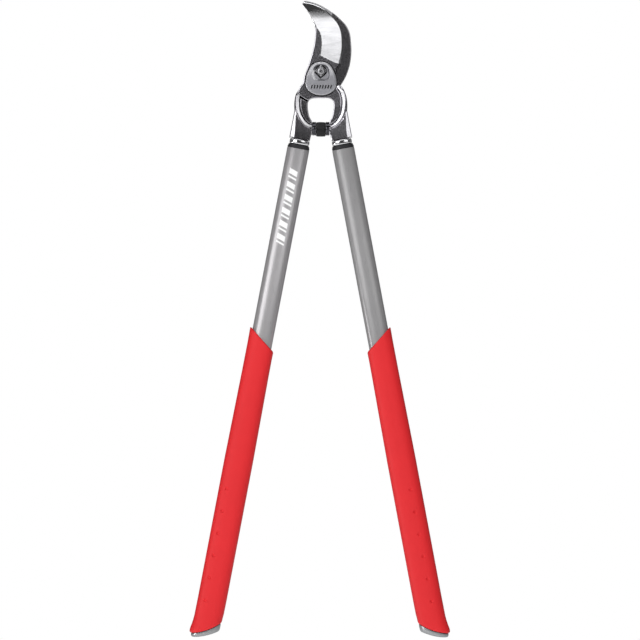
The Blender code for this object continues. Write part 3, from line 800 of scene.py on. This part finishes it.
def hook_bare_and_highlight(points):
    """Bare metal along the outside of the hook's tip, and painted highlights on the left tang's
    bead and socket bevel.
    """
    tip = 0.75 * (1 - ease(points[:, 0], 12.5, 15.0)) * ease(points[:, 1], 100.0, 104.0)
    return np.maximum(tip, painted_highlight(points * LEFT, (-38.5, -35.5), False))


# Painted highlights on the blade's bead and socket bevel.
def blade_highlight(points):
    return painted_highlight(points, (-30.0, -4.0), True)


# Painted black shade on the hook: in the bead's groove, along the heel seam and in the gap above
# the chrome band.
def hook_painted_shade(points):
    right = points * LEFT
    return np.maximum.reduce([bead_groove(right), heel_seam(points), socket_gap(right)])


def socket_gap(points):
    """1 on the bare tang between the socket and the chrome band, where the shadow in the gap is
    painted black.
    """
    return ease(handle_place(points)[0], SOCKET_END - 0.15, SOCKET_END + 0.15)


def painted_highlight(points, fade, twin):
    """1 on the bead's crest and inner slope and on the socket's outer bevel, where highlights are
    painted as bright bare metal.

    The bead's painted highlight fades in between the two heights of fade. A twin bevel is painted
    bright only at its borders, as two highlights.
    """
    gap = distance(points, bead_line)
    inner = inside(points, bead_inside)
    wide = 1 - ease(gap, BEAD_WIDTH - 0.7, BEAD_WIDTH - 0.1)
    ridge = np.where(inner, wide, 1 - ease(gap, 0.0, 0.5)) * ease(points[:, 1], *fade)
    ridge *= ease(points[:, 1], *BEAD_RISE)
    station, out = handle_place(points)
    bevel = 1.2 + 3.4 * ease(station, -50, -14)
    strip = ease(out, 13.0 - bevel, 13.6 - bevel) * (1 - ease(out, 12.0, 12.6))
    strip *= ease(station, -49, -44) * (1 - ease(station, SOCKET_END - 0.6, SOCKET_END - 0.2))
    if twin:
        strip *= 1 - 0.85 * ease(out, 13.9 - bevel, 14.3 - bevel) * (1 - ease(out, 10.9, 11.4))
    return np.clip(ridge + strip * inside(points, socket_face), 0, 1)


def worn_edge(line):
    """A mask of the distance from an outline, for wear on the coating."""
    return lambda points: distance(points, line, True)


def circle(radius):
    angle = 2 * np.pi * np.arange(56) / 56
    return np.column_stack([radius * np.cos(angle), PIVOT_Z + radius * np.sin(angle)])


def square(half):
    corners = [(-half, -half), (half, -half), (half, half), (-half, half)]
    loop = [(x, PIVOT_Z + z, SHARP) for x, z in corners]
    return trace(loop, True, 1.3)


def shoulder_lines(side):
    """Rows of points on both sides of the step where the thick tang starts."""
    rows = []
    for radius in SHOULDER_RADIUS + np.array([-0.16, -0.04, 0.5, 1.1, 1.45, 1.8]):
        angle = np.radians(np.arange(-75, -30, 0.7))
        x, z = side * radius * np.cos(angle), PIVOT_Z + radius * np.sin(angle)
        rows.append(np.column_stack([x, z]))
    return rows


def socket_lines(side):
    """Rows of points on both sides of the socket's lower end."""
    rows = []
    for station in (SOCKET_END - 0.25, SOCKET_END + 0.25):
        out = np.arange(-9.5, 9.6, 0.7)[:, None]
        row = HANDLE_TOP + ALONG * station + OUTWARD * out
        rows.append(row * [side, 1])
    return rows


def cut(piece, cutter):
    """Cuts a piece with another object and removes that object."""
    modifier = piece.modifiers.new("cut", "BOOLEAN")
    modifier.operation = "DIFFERENCE"
    modifier.object = cutter
    modifier.solver = "MANIFOLD"
    seen = piece.evaluated_get(bpy.context.evaluated_depsgraph_get())
    mesh = bpy.data.meshes.new_from_object(seen)
    piece.modifiers.clear()
    piece.data = mesh
    bpy.data.objects.remove(cutter, do_unlink=True)


blade_line = trace(BLADE_OUTLINE)
hook_line = trace(HOOK_OUTLINE)
cutting_line = trace(CUTTING_EDGE, False)
hook_inside_line = trace(HOOK_INSIDE, False)
ground_line = trace(GROUND_LIMIT, False)
ground_area = np.vstack([ground_line, [[60, 43.7], [60, 140], [-60, 140], [-30, 104], [-16, 96]]])
bead_line = trace(BEAD_PATH, False)
bead_inside = np.vstack([bead_line, [[0, -39], [0, 40], [24, 40]]])
socket_face = trace(SOCKET_FACE)
plate_line = trace(PLATE_OUTLINE)
recess_line = trace(RECESS_OUTLINE, True, 0.5)

blade_steel = forged_material("blade_steel", (0.58, 0.565, 0.61), 0.12, 0.4, (0.72, 0.72, 0.74))
hook_steel = forged_material("hook_steel", (0.33, 0.32, 0.34), 0.12, 0.3, (0.5, 0.5, 0.52))
satin = engraved_metal("satin_plate", (0.33, 0.33, 0.355), 0.36)
zinc = plain_metal("zinc", (0.46, 0.46, 0.48), 0.34)
# Near black so that the washer's rim round the nut stands in for the nut's shadow: painted shade.
washer_shade_black = plain_metal("washer_shade_black", (0.025, 0.025, 0.027), 0.4)
bright_steel = plain_metal("bright_steel", (0.09, 0.09, 0.10), 0.2)
chrome = plain_metal("chrome", (0.86, 0.86, 0.88), 0.1, 0.03, (1, 1, 0.1), 700)
rubber = plastic_material("rubber", (0.01, 0.01, 0.011), 0.5, 1600, 0.08)
black_plastic = plastic_material("black_plastic", (0.02, 0.02, 0.022), 0.42, 1400, 0.05)
grip_red = plastic_material("grip_red", (0.70, 0.019, 0.024), 0.5, 1100, 0.06, 0.05)
cap_grey = plain_metal("cap_grey", (0.40, 0.41, 0.42), 0.3, 0.05, (1, 1, 1), 800)
tube_left = tube_material("tube_left", (0.46, 0.45, 0.46), True)
# The right tube is the left tube's metal, darker: painted shade.
tube_right_shaded = tube_material("tube_right_shaded", (0.31, 0.305, 0.31), False)


def bind(piece, body, node):
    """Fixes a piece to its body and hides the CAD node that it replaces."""
    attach(piece, body)
    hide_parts(node)


def make_blade():
    masks = {
        "ground": ground_depth, "wear_and_highlight": worn_edge(blade_line), "painted_shade": blade_painted_shade,
        "bare_and_highlight": blade_highlight,
    }
    bolt_hole = circle(BORE)
    lines = shoulder_lines(1) + socket_lines(1) + [ground_line]
    lines += [row for inset in (0.5, 0.9, 1.1, 1.3, 1.6) for row in offsets(cutting_line, inset)]
    loops = [blade_line, bolt_hole]
    blade = relief(
        "blade_forging", loops, blade_front, blade_back, blade_steel, lines, masks=masks,
    )
    bind(blade, "blade_side", "blade")


def make_hook():
    masks = {
        "ground": hook_ground, "wear_and_highlight": worn_edge(hook_line), "painted_shade": hook_painted_shade,
        "bare_and_highlight": hook_bare_and_highlight,
    }
    lines = shoulder_lines(-1) + socket_lines(-1)
    loops = [hook_line, square(NECK_HALF + GAP)]
    hook = relief("hook_forging", loops, hook_front, hook_back, hook_steel, lines, masks=masks)
    bind(hook, "hook_side", "hook")


make_blade()
make_hook()


# ---- pivot stack

PLATE_BACK = GAP / 2 + BLADE_THICKNESS + GAP
PLATE_FLOOR = PLATE_BACK + 1.3
PLATE_FRONT = PLATE_BACK + 4.2
WASHER_FRONT = PLATE_FLOOR + GAP + 1.0
NUT_FRONT = WASHER_FRONT + GAP + 3.6
BOLT_FRONT = NUT_FRONT + 0.9
HEAD_FACE = -(GAP / 2 + HOOK_THICKNESS + GAP)
HEAD_RADIUS = 9.0
HEAD_HEIGHT = 4.2
THREAD_PITCH = 1.25
THREAD_START = 4.0

# The engraved row on the cover plate: plain slanted bars.
BAR_COUNT = 8
BAR_PITCH = 3.5
BAR_WIDTH = 1.5
BAR_HEIGHT = 4.4
BAR_MIDDLE_Z = 13.9
BAR_SLANT = 1.0


def bar_loops():
    loops = []
    for i in range(BAR_COUNT):
        x = (i - (BAR_COUNT - 1) / 2) * BAR_PITCH + 0.3
        low, high = BAR_MIDDLE_Z - BAR_HEIGHT / 2, BAR_MIDDLE_Z + BAR_HEIGHT / 2
        left, right = x - BAR_WIDTH / 2, x + BAR_WIDTH / 2
        corners = [(left, low), (right, low), (right + BAR_SLANT, high), (left + BAR_SLANT, high)]
        loops.append(trace([(*corner, SHARP) for corner in corners], True, 0.3))
    return loops


def bar_depth(points):
    """Signed distance into the nearest engraved bar."""
    depth = np.full(len(points), -9.0)
    near = np.abs(points[:, 1] - BAR_MIDDLE_Z) < BAR_HEIGHT
    for loop in bars:
        gap = distance(points[near], loop, True)
        depth[near] = np.maximum(depth[near], np.where(inside(points[near], loop), gap, -gap))
    return depth


def recess_depth(points):
    gap = distance(points, recess_line, True)
    return np.where(inside(points, recess_line), gap, -gap)


def plate_engraving_and_shadow(points):
    """Into the engraved bars, and into the shadow painted black under the lower sides of the square
    nut.
    """
    below = 10.1 - np.abs(points[:, 0] + 0.4) - np.abs(points[:, 1] - PIVOT_Z)
    # Painted shadow of the nut on the recess floor, below its lower sides.
    nut_shadow = np.where((recess_depth(points) > 1.5) & (points[:, 1] < PIVOT_Z - 1), below, -9)
    return np.maximum(bar_depth(points), nut_shadow)


def plate_wear_and_highlight(points):
    """Wear and painted highlight of the plate: rubbed bright on its edge, with highlights painted
    bright on its top rim and on the recess's left wall.
    """
    depth = recess_depth(points)
    # Painted highlight on the recess's left wall.
    wall = ease(depth, -0.7, -0.1) * (1 - ease(depth, 1.5, 2.1)) * (points[:, 0] < -4)
    wall *= ease(points[:, 1], 21.5, 24.5) * (1 - ease(points[:, 1], 33.5, 37.0))
    # Painted highlight on the top rim, lighter towards the top.
    rim = 0.35 * ease(points[:, 1], 24.0, 38.0) * (1 - ease(depth, -1.0, -0.2))
    highlight = 1 + (FULLY_BRIGHT - 1) * np.maximum(wall, rim)
    return np.minimum(distance(points, plate_line, True), highlight)


def plate_front(points):
    crown = 0.25 * (from_pivot(points + [0, 9]) / 20) ** 2
    rim = PLATE_FRONT - crown - edge_drop(distance(points, plate_line, True), 1.7)
    wall = ease(recess_depth(points), -0.5, 1.9)
    height = rim + (PLATE_FLOOR - rim) * wall
    return -(height - 0.4 * ease(bar_depth(points), -0.1, 0.2))


def plate_back(points):
    return -(PLATE_BACK + 0.4 * head_round(points, plate_line, 0.8))


def make_plate():
    lines = [row for loop in bars for row in offsets(loop, 0.12)]
    lines += offsets(recess_line, 0.4) + offsets(recess_line, 1.0) + offsets(recess_line, 1.7)
    masks = {"engraving_and_shadow": plate_engraving_and_shadow, "wear_and_highlight": plate_wear_and_highlight}
    loops = [plate_line, circle(BORE)]
    plate = relief("plate_cover", loops, plate_front, plate_back, satin, lines, 0.6, masks)
    bind(plate, "blade_side", "pivot_plate")


def make_bolt():
    """Domed head, square neck, thread, and a blind hole in the front end."""
    profile = [(0, HEAD_FACE - HEAD_HEIGHT)]
    for i in range(1, 13):
        angle = math.pi / 2 * i / 12
        radius = HEAD_RADIUS * math.sin(angle)
        profile.append((radius, HEAD_FACE - 1.1 - (HEAD_HEIGHT - 1.1) * math.cos(angle) ** 0.8))
    profile += [(HEAD_RADIUS, HEAD_FACE - 0.25), (HEAD_RADIUS - 0.25, HEAD_FACE)]
    profile += [
        (7.6, HEAD_FACE, NECK_HALF), (7.0, HEAD_FACE + 0.15, NECK_HALF), (6.6, -0.95, NECK_HALF),
        (6.2, -0.6, NECK_HALF - 0.2), (BOLT_RADIUS, -0.55), (BOLT_RADIUS, THREAD_START),
    ]
    thread_top = BOLT_FRONT - 1.0
    for i in range(int((thread_top - THREAD_START) / THREAD_PITCH)):
        height = THREAD_START + 0.2 + THREAD_PITCH * i
        profile += [(BOLT_RADIUS, height), (BOLT_RADIUS, height + 0.15)]
        profile += [(BOLT_RADIUS - 0.6, height + 0.6), (BOLT_RADIUS - 0.6, height + 0.75)]
    profile += [(BOLT_RADIUS, thread_top - 0.1), (BOLT_RADIUS, thread_top + 0.2)]
    profile += [(BOLT_RADIUS - 0.75, BOLT_FRONT - 0.1), (BOLT_RADIUS - 0.95, BOLT_FRONT)]
    profile += [
        (1.9, BOLT_FRONT), (1.6, BOLT_FRONT - 0.25), (1.5, BOLT_FRONT - 6.0), (0, BOLT_FRONT - 6.7),
    ]
    bolt = lathe("bolt_pivot", profile, False, zinc, to_front())
    bind(bolt, "hook_side", "pivot_bolt")


def make_nut():
    """A square nut, with its corners turned round."""
    low, high, half = WASHER_FRONT + GAP, NUT_FRONT, 5.3
    profile = [
        (BORE, high - 0.6), (BORE + 0.7, high), (half + 0.1, high, half),
        (half + 0.6, high - 0.15, half), (7.2, high - 1.0, half), (7.3, high - 1.2, half),
        (7.3, low + 0.5, half), (7.0, low + 0.1, half), (half + 0.9, low, half),
        (BORE + 0.5, low), (BORE, low + 0.5),
    ]
    nut = lathe("nut_pivot", profile, True, zinc, to_front(), 96, 30, math.pi / 4)
    bind(nut, "hook_side", "pivot_nut")


def make_washer():
    low, high = PLATE_FLOOR + GAP, WASHER_FRONT
    profile = [
        (BORE, high - 0.15), (BORE + 0.15, high), (7.1, high), (7.4, high - 0.3), (7.4, low + 0.3),
        (7.1, low), (BORE + 0.15, low), (BORE, low + 0.15),
    ]
    washer = lathe("washer_pivot", profile, True, washer_shade_black, to_front())
    bind(washer, "hook_side", "pivot_washer")


# ---- bumper

BOSS_FACE_X = 10.9
DISC_RADIUS = 8.7
STUD_RADIUS = 2.6
STUD_LENGTH = 5.0
SNUG = 0.06
STRIKE_FACE = -6.0
SEAT_FACE = 6.2
RUBBER_HALF = (7.5, 9.2)
BLOCK_GROOVE = 1.5


def disc_profile(low, high, radius):
    """A disc with rounded rims and a shallow turned groove round it."""
    middle = (low + high) / 2
    return [
        (radius - 0.8, low), (radius - 0.25, low + 0.25), (radius, low + 0.8),
        (radius, middle - 0.5), (radius - 0.45, middle - 0.2), (radius - 0.45, middle + 0.2),
        (radius, middle + 0.5), (radius, high - 0.8), (radius - 0.25, high - 0.25),
        (radius - 0.8, high),
    ]


def stud_profile(base, way):
    """A stud from a disc's face outwards; way is -1 for a stud towards -X."""
    end = base + way * STUD_LENGTH
    rows = [(STUD_RADIUS, base), (STUD_RADIUS, end - way * 0.4), (STUD_RADIUS - 0.4, end), (0, end)]
    return rows[::way]


def make_discs():
    low, high = -BOSS_FACE_X + SNUG, STRIKE_FACE
    profile = [*stud_profile(low, -1), *disc_profile(low, high, DISC_RADIUS), (0, high)]
    strike = lathe("strike_disc", profile, False, bright_steel, across(BUMPER_Z), 96)
    bind(strike, "hook_side", "bumper_strike")

    low, high = SEAT_FACE, BOSS_FACE_X - SNUG
    disc = disc_profile(low, high, DISC_RADIUS)
    profile = [*stud_profile(low, -1), *disc, *stud_profile(high, 1)]
    seat = lathe("seat_disc", profile, False, bright_steel, across(BUMPER_Z), 96)
    bind(seat, "blade_side", "bumper_seat")


def make_block():
    """The rubber block: a barrelled rounded box with a groove round its middle height."""
    left, right = STRIKE_FACE + SNUG, SEAT_FACE - SNUG
    count, middle = 160, (BUMPER_Z - 0.8)
    rings = []
    for i in range(25):
        t = i / 24
        x = left + (right - left) * t
        end = min(t, 1 - t) * (right - left)
        shrink = 0.55 * edge_drop(np.array([end]), 1.5)[0] + 0.35 * abs(2 * t - 1) ** 2
        ring = oval(RUBBER_HALF[0] - shrink, RUBBER_HALF[1] - shrink, count, 5.0)
        groove = BLOCK_GROOVE * np.exp(-(ring[:, 1] / 0.6) ** 2)
        ring[:, 0] -= np.sign(ring[:, 0]) * groove
        rings.append(np.column_stack([np.full(count, x), ring[:, 0], middle + ring[:, 1]]))
    block = finish_mesh("rubber_block", np.vstack(rings), skin(rings, False, False), rubber, 40)
    low = right - STUD_LENGTH - GAP
    cut(block, rod("stud_cutter", STUD_RADIUS + GAP, low, right + 5, across(BUMPER_Z)))
    bind(block, "blade_side", "bumper_block")


def rod(name, radius, low, high, place):
    """A plain cylinder used to cut a round hole."""
    return lathe(name, [(0, low), (radius, low), (radius, high), (0, high)], False, zinc, place, 48)


# ---- handles

def smaller(half, inset):
    """Half the width and depth of an oval, after an inset."""
    return half[0] - inset, half[1] - inset


FERRULE_TOP = -11.6
FERRULE_HALF = (12.7, 8.0)
COLLAR_TOP = -5.1
SLEEVE_END = 44.0
PIN_STATION = 25.0
PIN_RADIUS = 2.5
CAP_SPIGOT_TOP = 578.0
TANG_CLEAR = smaller(TANG_HALF, -GAP)
TUBE_BORE = smaller(TUBE_HALF, TUBE_WALL)
INSIDE_TUBE = smaller(TUBE_BORE, GAP)
GRIP_BORE = smaller(TUBE_HALF, -GAP)
GRIP_HALF_DEPTH = 13.5
GRIP_WIDEST = 19.3

# Grip: station, slope of the ring across the handle, offset outwards, half width.
GRIP_RINGS = [
    (249.2, -0.77, 0.0, 17.5), (262.0, -0.52, 0.0, 17.3), (290.0, -0.10, 0.0, 17.4),
    (405.0, 0.0, 0.0, 18.4), (585.0, 0.08, 0.0, 18.4), (606.0, 0.22, 0.2, 18.4),
    (611.0, 0.31, 0.6, 18.5), (615.5, 0.39, 1.1, 18.8), (618.2, 0.44, 1.5, 19.1),
    (620.6, 0.49, 1.7, 19.3), (622.4, 0.52, 1.75, 19.2), (623.6, 0.54, 1.6, 18.7),
    (624.4, 0.55, 1.2, 17.9),
]
GRIP_END = 624.4
GRIP_LIP = 1.9
CAP_RINGS = [
    (624.9, 0.55, 0.9, 17.0), (625.2, 0.55, 0.9, 17.5), (628.0, 0.50, 0.6, 17.5),
    (630.2, 0.45, 0.3, 17.0), (631.2, 0.43, 0.0, 16.3), (631.6, 0.42, -0.4, 15.2),
]
DIMPLE_FIRST = 442.5
DIMPLE_PITCH = 28.9
DIMPLE_COUNT = 6
DIMPLE_RADIUS = 2.5
DIMPLE_DEPTH = 1.3
DIMPLE_OUT = {-1: 8.5, 1: 4.7}


def grip_stations():
    """Close together at the lip, at the foot and across each dimple."""
    stations = list(np.arange(249.2, GRIP_END, 2.5)) + list(np.arange(604, GRIP_END, 0.7))
    for i in range(DIMPLE_COUNT):
        stations += list(DIMPLE_FIRST + DIMPLE_PITCH * i + np.arange(-2.4, 2.5, 0.4))
    stations = np.unique(np.round(stations + [GRIP_END], 3))
    return stations[np.append(True, np.diff(stations) > 0.15)]


def make_grip(label, side):
    table = np.array(GRIP_RINGS)
    count, rings = 220, []
    first_station, first_slope, first_offset, first_half = GRIP_RINGS[0]
    last_station, last_slope = GRIP_RINGS[-1][:2]

    def add(station, slope, offset, half_width, half_depth, dimpled=False):
        ring = oval(half_width, half_depth, count)
        out, depth = offset + ring[:, 0], ring[:, 1].copy()
        along = ring_station(station, slope, out)
        if dimpled:
            for i in range(DIMPLE_COUNT):
                centre = DIMPLE_FIRST + DIMPLE_PITCH * i
                gap = np.hypot(along - centre, out - DIMPLE_OUT[side])
                depth += np.where(depth < 0, DIMPLE_DEPTH * (1 - ease(gap, 1.0, DIMPLE_RADIUS)), 0)
        rings.append(on_axis(side, along, out, depth))

    def half_depth_at(half):
        return GRIP_HALF_DEPTH - 0.4 * (GRIP_WIDEST - half)

    add(first_station - GRIP_LIP, first_slope, 0, *GRIP_BORE)
    for i in range(7):
        angle = math.pi / 2 * i / 7
        inset = GRIP_LIP * 0.8 * (1 - math.sin(angle))
        rise = GRIP_LIP * math.cos(angle)
        depth = half_depth_at(first_half) - inset
        add(first_station - rise, first_slope, first_offset, first_half - inset, depth)
    for station in grip_stations():
        slope, offset, half = (np.interp(station, table[:, 0], table[:, k]) for k in (1, 2, 3))
        add(station, slope, offset, half, half_depth_at(half), True)
    add(last_station, last_slope, 0, *GRIP_BORE)
    faces = skin(rings, True, side < 0)
    return finish_mesh(label + "_hand_grip", np.vstack(rings), faces, grip_red, 50)


def make_cap(label, side):
    rings = [
        (CAP_SPIGOT_TOP, 0, 0, *smaller(INSIDE_TUBE, 1.5)),
        (CAP_SPIGOT_TOP + 4, 0, 0, *INSIDE_TUBE),
        (CAP_RINGS[0][0] - 0.001, CAP_RINGS[0][1], 0, *INSIDE_TUBE),
    ]
    for station, slope, offset, half in CAP_RINGS:
        rings.append((station, slope, offset, half, GRIP_HALF_DEPTH - 0.9 * (GRIP_WIDEST - half)))
    return sleeve(label + "_foot_cap", side, rings, cap_grey, False, 120, 35)


def make_tube(label, side):
    material = tube_left if side < 0 else tube_right_shaded
    shape = (
        (0.0, smaller(TUBE_HALF, 0.5)), (0.15, smaller(TUBE_HALF, 0.15)), (0.5, TUBE_HALF),
        (TUBE_END / 2, TUBE_HALF), (TUBE_END, TUBE_HALF), (TUBE_END, TUBE_BORE), (0.0, TUBE_BORE),
    )
    rings = [(station, 0, 0, *half) for station, half in shape]
    return sleeve(label + "_handle_tube", side, rings, material)


def make_collar(label, side):
    """The rim shows above the tube; the sleeve inside packs the tang."""
    top = (TUBE_HALF[0] - 0.9, TUBE_HALF[1] - 0.6)
    shape = (
        (COLLAR_TOP, smaller(top, 0.6)), (COLLAR_TOP + 0.2, smaller(top, 0.15)),
        (COLLAR_TOP + 0.7, top), (-GAP - 1.2, smaller(TUBE_HALF, 0.1)), (-GAP - 0.5, TUBE_HALF),
        (-GAP, smaller(TUBE_HALF, 0.4)), (-GAP, INSIDE_TUBE), (SLEEVE_END, INSIDE_TUBE),
        (SLEEVE_END, TANG_CLEAR), (COLLAR_TOP, TANG_CLEAR),
    )
    rings = [(station, 0, 0, *half) for station, half in shape]
    return sleeve(label + "_end_collar", side, rings, black_plastic)


def make_ferrule(label, side):
    low, high = FERRULE_TOP, COLLAR_TOP - GAP
    rings = []
    for i in range(11):
        t = i / 10
        drop = 0.55 * abs(2 * t - 1) ** 3 + 0.25 * (t < 0.01 or t > 0.99)
        rings.append((low + (high - low) * t, 0, 0, *smaller(FERRULE_HALF, drop)))
    rings += [(high, 0, 0, *TANG_CLEAR), (low, 0, 0, *TANG_CLEAR)]
    return sleeve(label + "_bright_ferrule", side, rings, chrome)


def pin_place(side):
    """Local +Z towards the front, on the axis of the tang pin."""
    x, z = HANDLE_TOP + ALONG * PIN_STATION
    return Matrix.Translation(Vector((side * x, 0, z)) * MM) @ Matrix.Rotation(math.pi / 2, 4, "X")


def pin_cutter(side):
    return rod("pin_cutter", PIN_RADIUS + GAP, -14.0, TANG_CLEAR[1] + 0.4 + GAP, pin_place(side))


def make_pin(label, side):
    rear, front = -(TUBE_HALF[1] - 0.2), TANG_CLEAR[1] + 0.4
    profile = [
        (0, rear), (1.6, rear + 0.05), (2.2, rear + 0.25), (PIN_RADIUS, rear + 0.6),
        (PIN_RADIUS, front - 0.4), (PIN_RADIUS - 0.4, front), (0, front),
    ]
    return lathe(label + "_cross_pin", profile, False, zinc, pin_place(side), 48)


def make_handle(label, side, body):
    tube, collar = make_tube(label, side), make_collar(label, side)
    cut(tube, pin_cutter(side))
    cut(collar, pin_cutter(side))
    pieces = (
        (tube, "_tube", "tube_metal"),
        (collar, "_collar", "black_plastic"),
        (make_ferrule(label, side), "_ferrule", "chrome"),
        (make_pin(label, side), "_tang_pin", "zinc"),
        (make_grip(label, side), "_grip", "red_grip"),
        (make_cap(label, side), "_end_cap", "grey_plastic"),
    )
    for piece, node, slot in pieces:
        bind(piece, body, label + node)


bars = bar_loops()
make_plate()
make_bolt()
make_nut()
make_washer()
make_discs()
make_block()
make_handle("left", -1, "hook_side")
make_handle("right", 1, "blade_side")


# ---- stage, lights and camera

FLOOR_SIZE = 16
FLOOR_DROP = 0.75
# Grey that the metal reflects, by depth: 0 is straight ahead of the tool and 1 straight behind it.
AROUND = ((0.0, 0.04), (0.2, 0.06), (0.45, 0.14), (0.62, 0.2), (0.85, 0.06))
LENS, SENSOR = 240, 36
PICTURE_HEIGHT = 0.8162
PICTURE_MIDDLE = (-0.0005, -0.2831)
CAMERA_ROLL = math.radians(-0.11)


def make_stage():
    """A pale floor well below the hanging tool."""
    material, node, wire = new_material("floor_pale")
    grain = noise(node, place_coordinates(node), 3, 2)
    wire("Base Color", mix_colour(node, grain, (0.93,) * 3, (0.96,) * 3))
    wire("Roughness", 0.9)
    wire("Specular IOR Level", 0.0)
    wire("Emission Color", (1, 1, 1, 1))
    wire("Emission Strength", 0.35)
    height = cad_box[0][2] - FLOOR_DROP
    bpy.ops.mesh.primitive_plane_add(size=FLOOR_SIZE, location=(0, 0, height))
    floor = bpy.context.object
    floor.name = "floor"
    floor.data.materials.append(material)


def soft_light(name, away, azimuths, heights, radiance, mirrored=True):
    """A panel facing the head, between two directions in degrees and two heights in metres.

    A panel that isn't mirrored lights the tool without showing in its bright metal.
    """
    turn = math.radians(sum(azimuths) / 2)
    half_turn = math.radians(azimuths[1] - azimuths[0]) / 2
    way = Vector((math.sin(turn) * away, -math.cos(turn) * away, sum(heights) / 2))
    data = bpy.data.lights.new(name, "AREA")
    data.shape = "RECTANGLE"
    data.size, data.size_y = 2 * away * math.tan(half_turn), heights[1] - heights[0]
    data.energy = radiance * math.pi * data.size * data.size_y
    lamp = bpy.data.objects.new(name, data)
    bpy.context.scene.collection.objects.link(lamp)
    lamp.location = way
    lamp.rotation_euler = (-way).to_track_quat("-Z", "Y").to_euler()
    lamp.visible_glossy = mirrored
    lamp.visible_camera = False


def make_world():
    """White behind the tool; what it reflects is grey, darker straight ahead and just above."""
    world = bpy.data.worlds.new("studio")
    bpy.context.scene.world = world
    world.use_nodes = True
    tree = world.node_tree
    node = node_maker(tree)
    backdrop = tree.nodes["Background"]
    fill(tree, backdrop, {"Color": (1, 1, 1, 1)})
    way = node("ShaderNodeTexCoord").outputs["Generated"]
    depth = node("ShaderNodeSeparateXYZ", {0: way}).outputs["Y"]
    strength = node("ShaderNodeValToRGB", {"Fac": remap(node, depth, -1.0, 1.0, 0.0, 1.0)})
    stops = strength.color_ramp.elements
    stops.remove(stops[0])
    stops[0].position = 0.0
    for place, grey in AROUND:
        stop = stops.new(place) if place else stops[0]
        stop.color = (grey, grey, grey, 1)
    around = node("ShaderNodeBackground", {"Color": strength.outputs["Color"]})
    seen = node("ShaderNodeLightPath").outputs["Is Camera Ray"]
    shown = {0: seen, 1: around.outputs[0], 2: backdrop.outputs[0]}
    mixed = node("ShaderNodeMixShader", shown).outputs[0]
    fill(tree, tree.nodes["World Output"], {"Surface": mixed})


def make_camera():
    """Straight on, long lens, framed so that the tool fills the height of a square picture."""
    data = bpy.data.cameras.new("camera")
    camera = bpy.data.objects.new("camera", data)
    bpy.context.scene.collection.objects.link(camera)
    data.lens, data.sensor_width = LENS, SENSOR
    x, z = PICTURE_MIDDLE
    camera.location = (x, -PICTURE_HEIGHT * LENS / SENSOR, z)
    camera.rotation_euler = (math.pi / 2, CAMERA_ROLL, 0)
    data.clip_end = 100
    bpy.context.scene.camera = camera


make_stage()
make_world()
soft_light("right_panel", 3.0, (6, 36), (0.17, 1.05), 1.5)
soft_light("left_panel", 3.0, (-42, -10), (-0.15, 1.3), 3.0)
soft_light("edge_strip", 3.0, (-67, -57), (-1.15, -0.45), 14.0)
soft_light("overhead", 0.95, (-53, 53), (1.75, 2.35), 3.2)
soft_light("front_fill", 4.0, (-25, 25), (-2.2, 1.2), 2.0, False)
soft_light("back_fill", 4.0, (150, 210), (-2.2, 1.2), 1.2, False)
make_camera()

bpy.context.scene.view_settings.view_transform = "Standard"
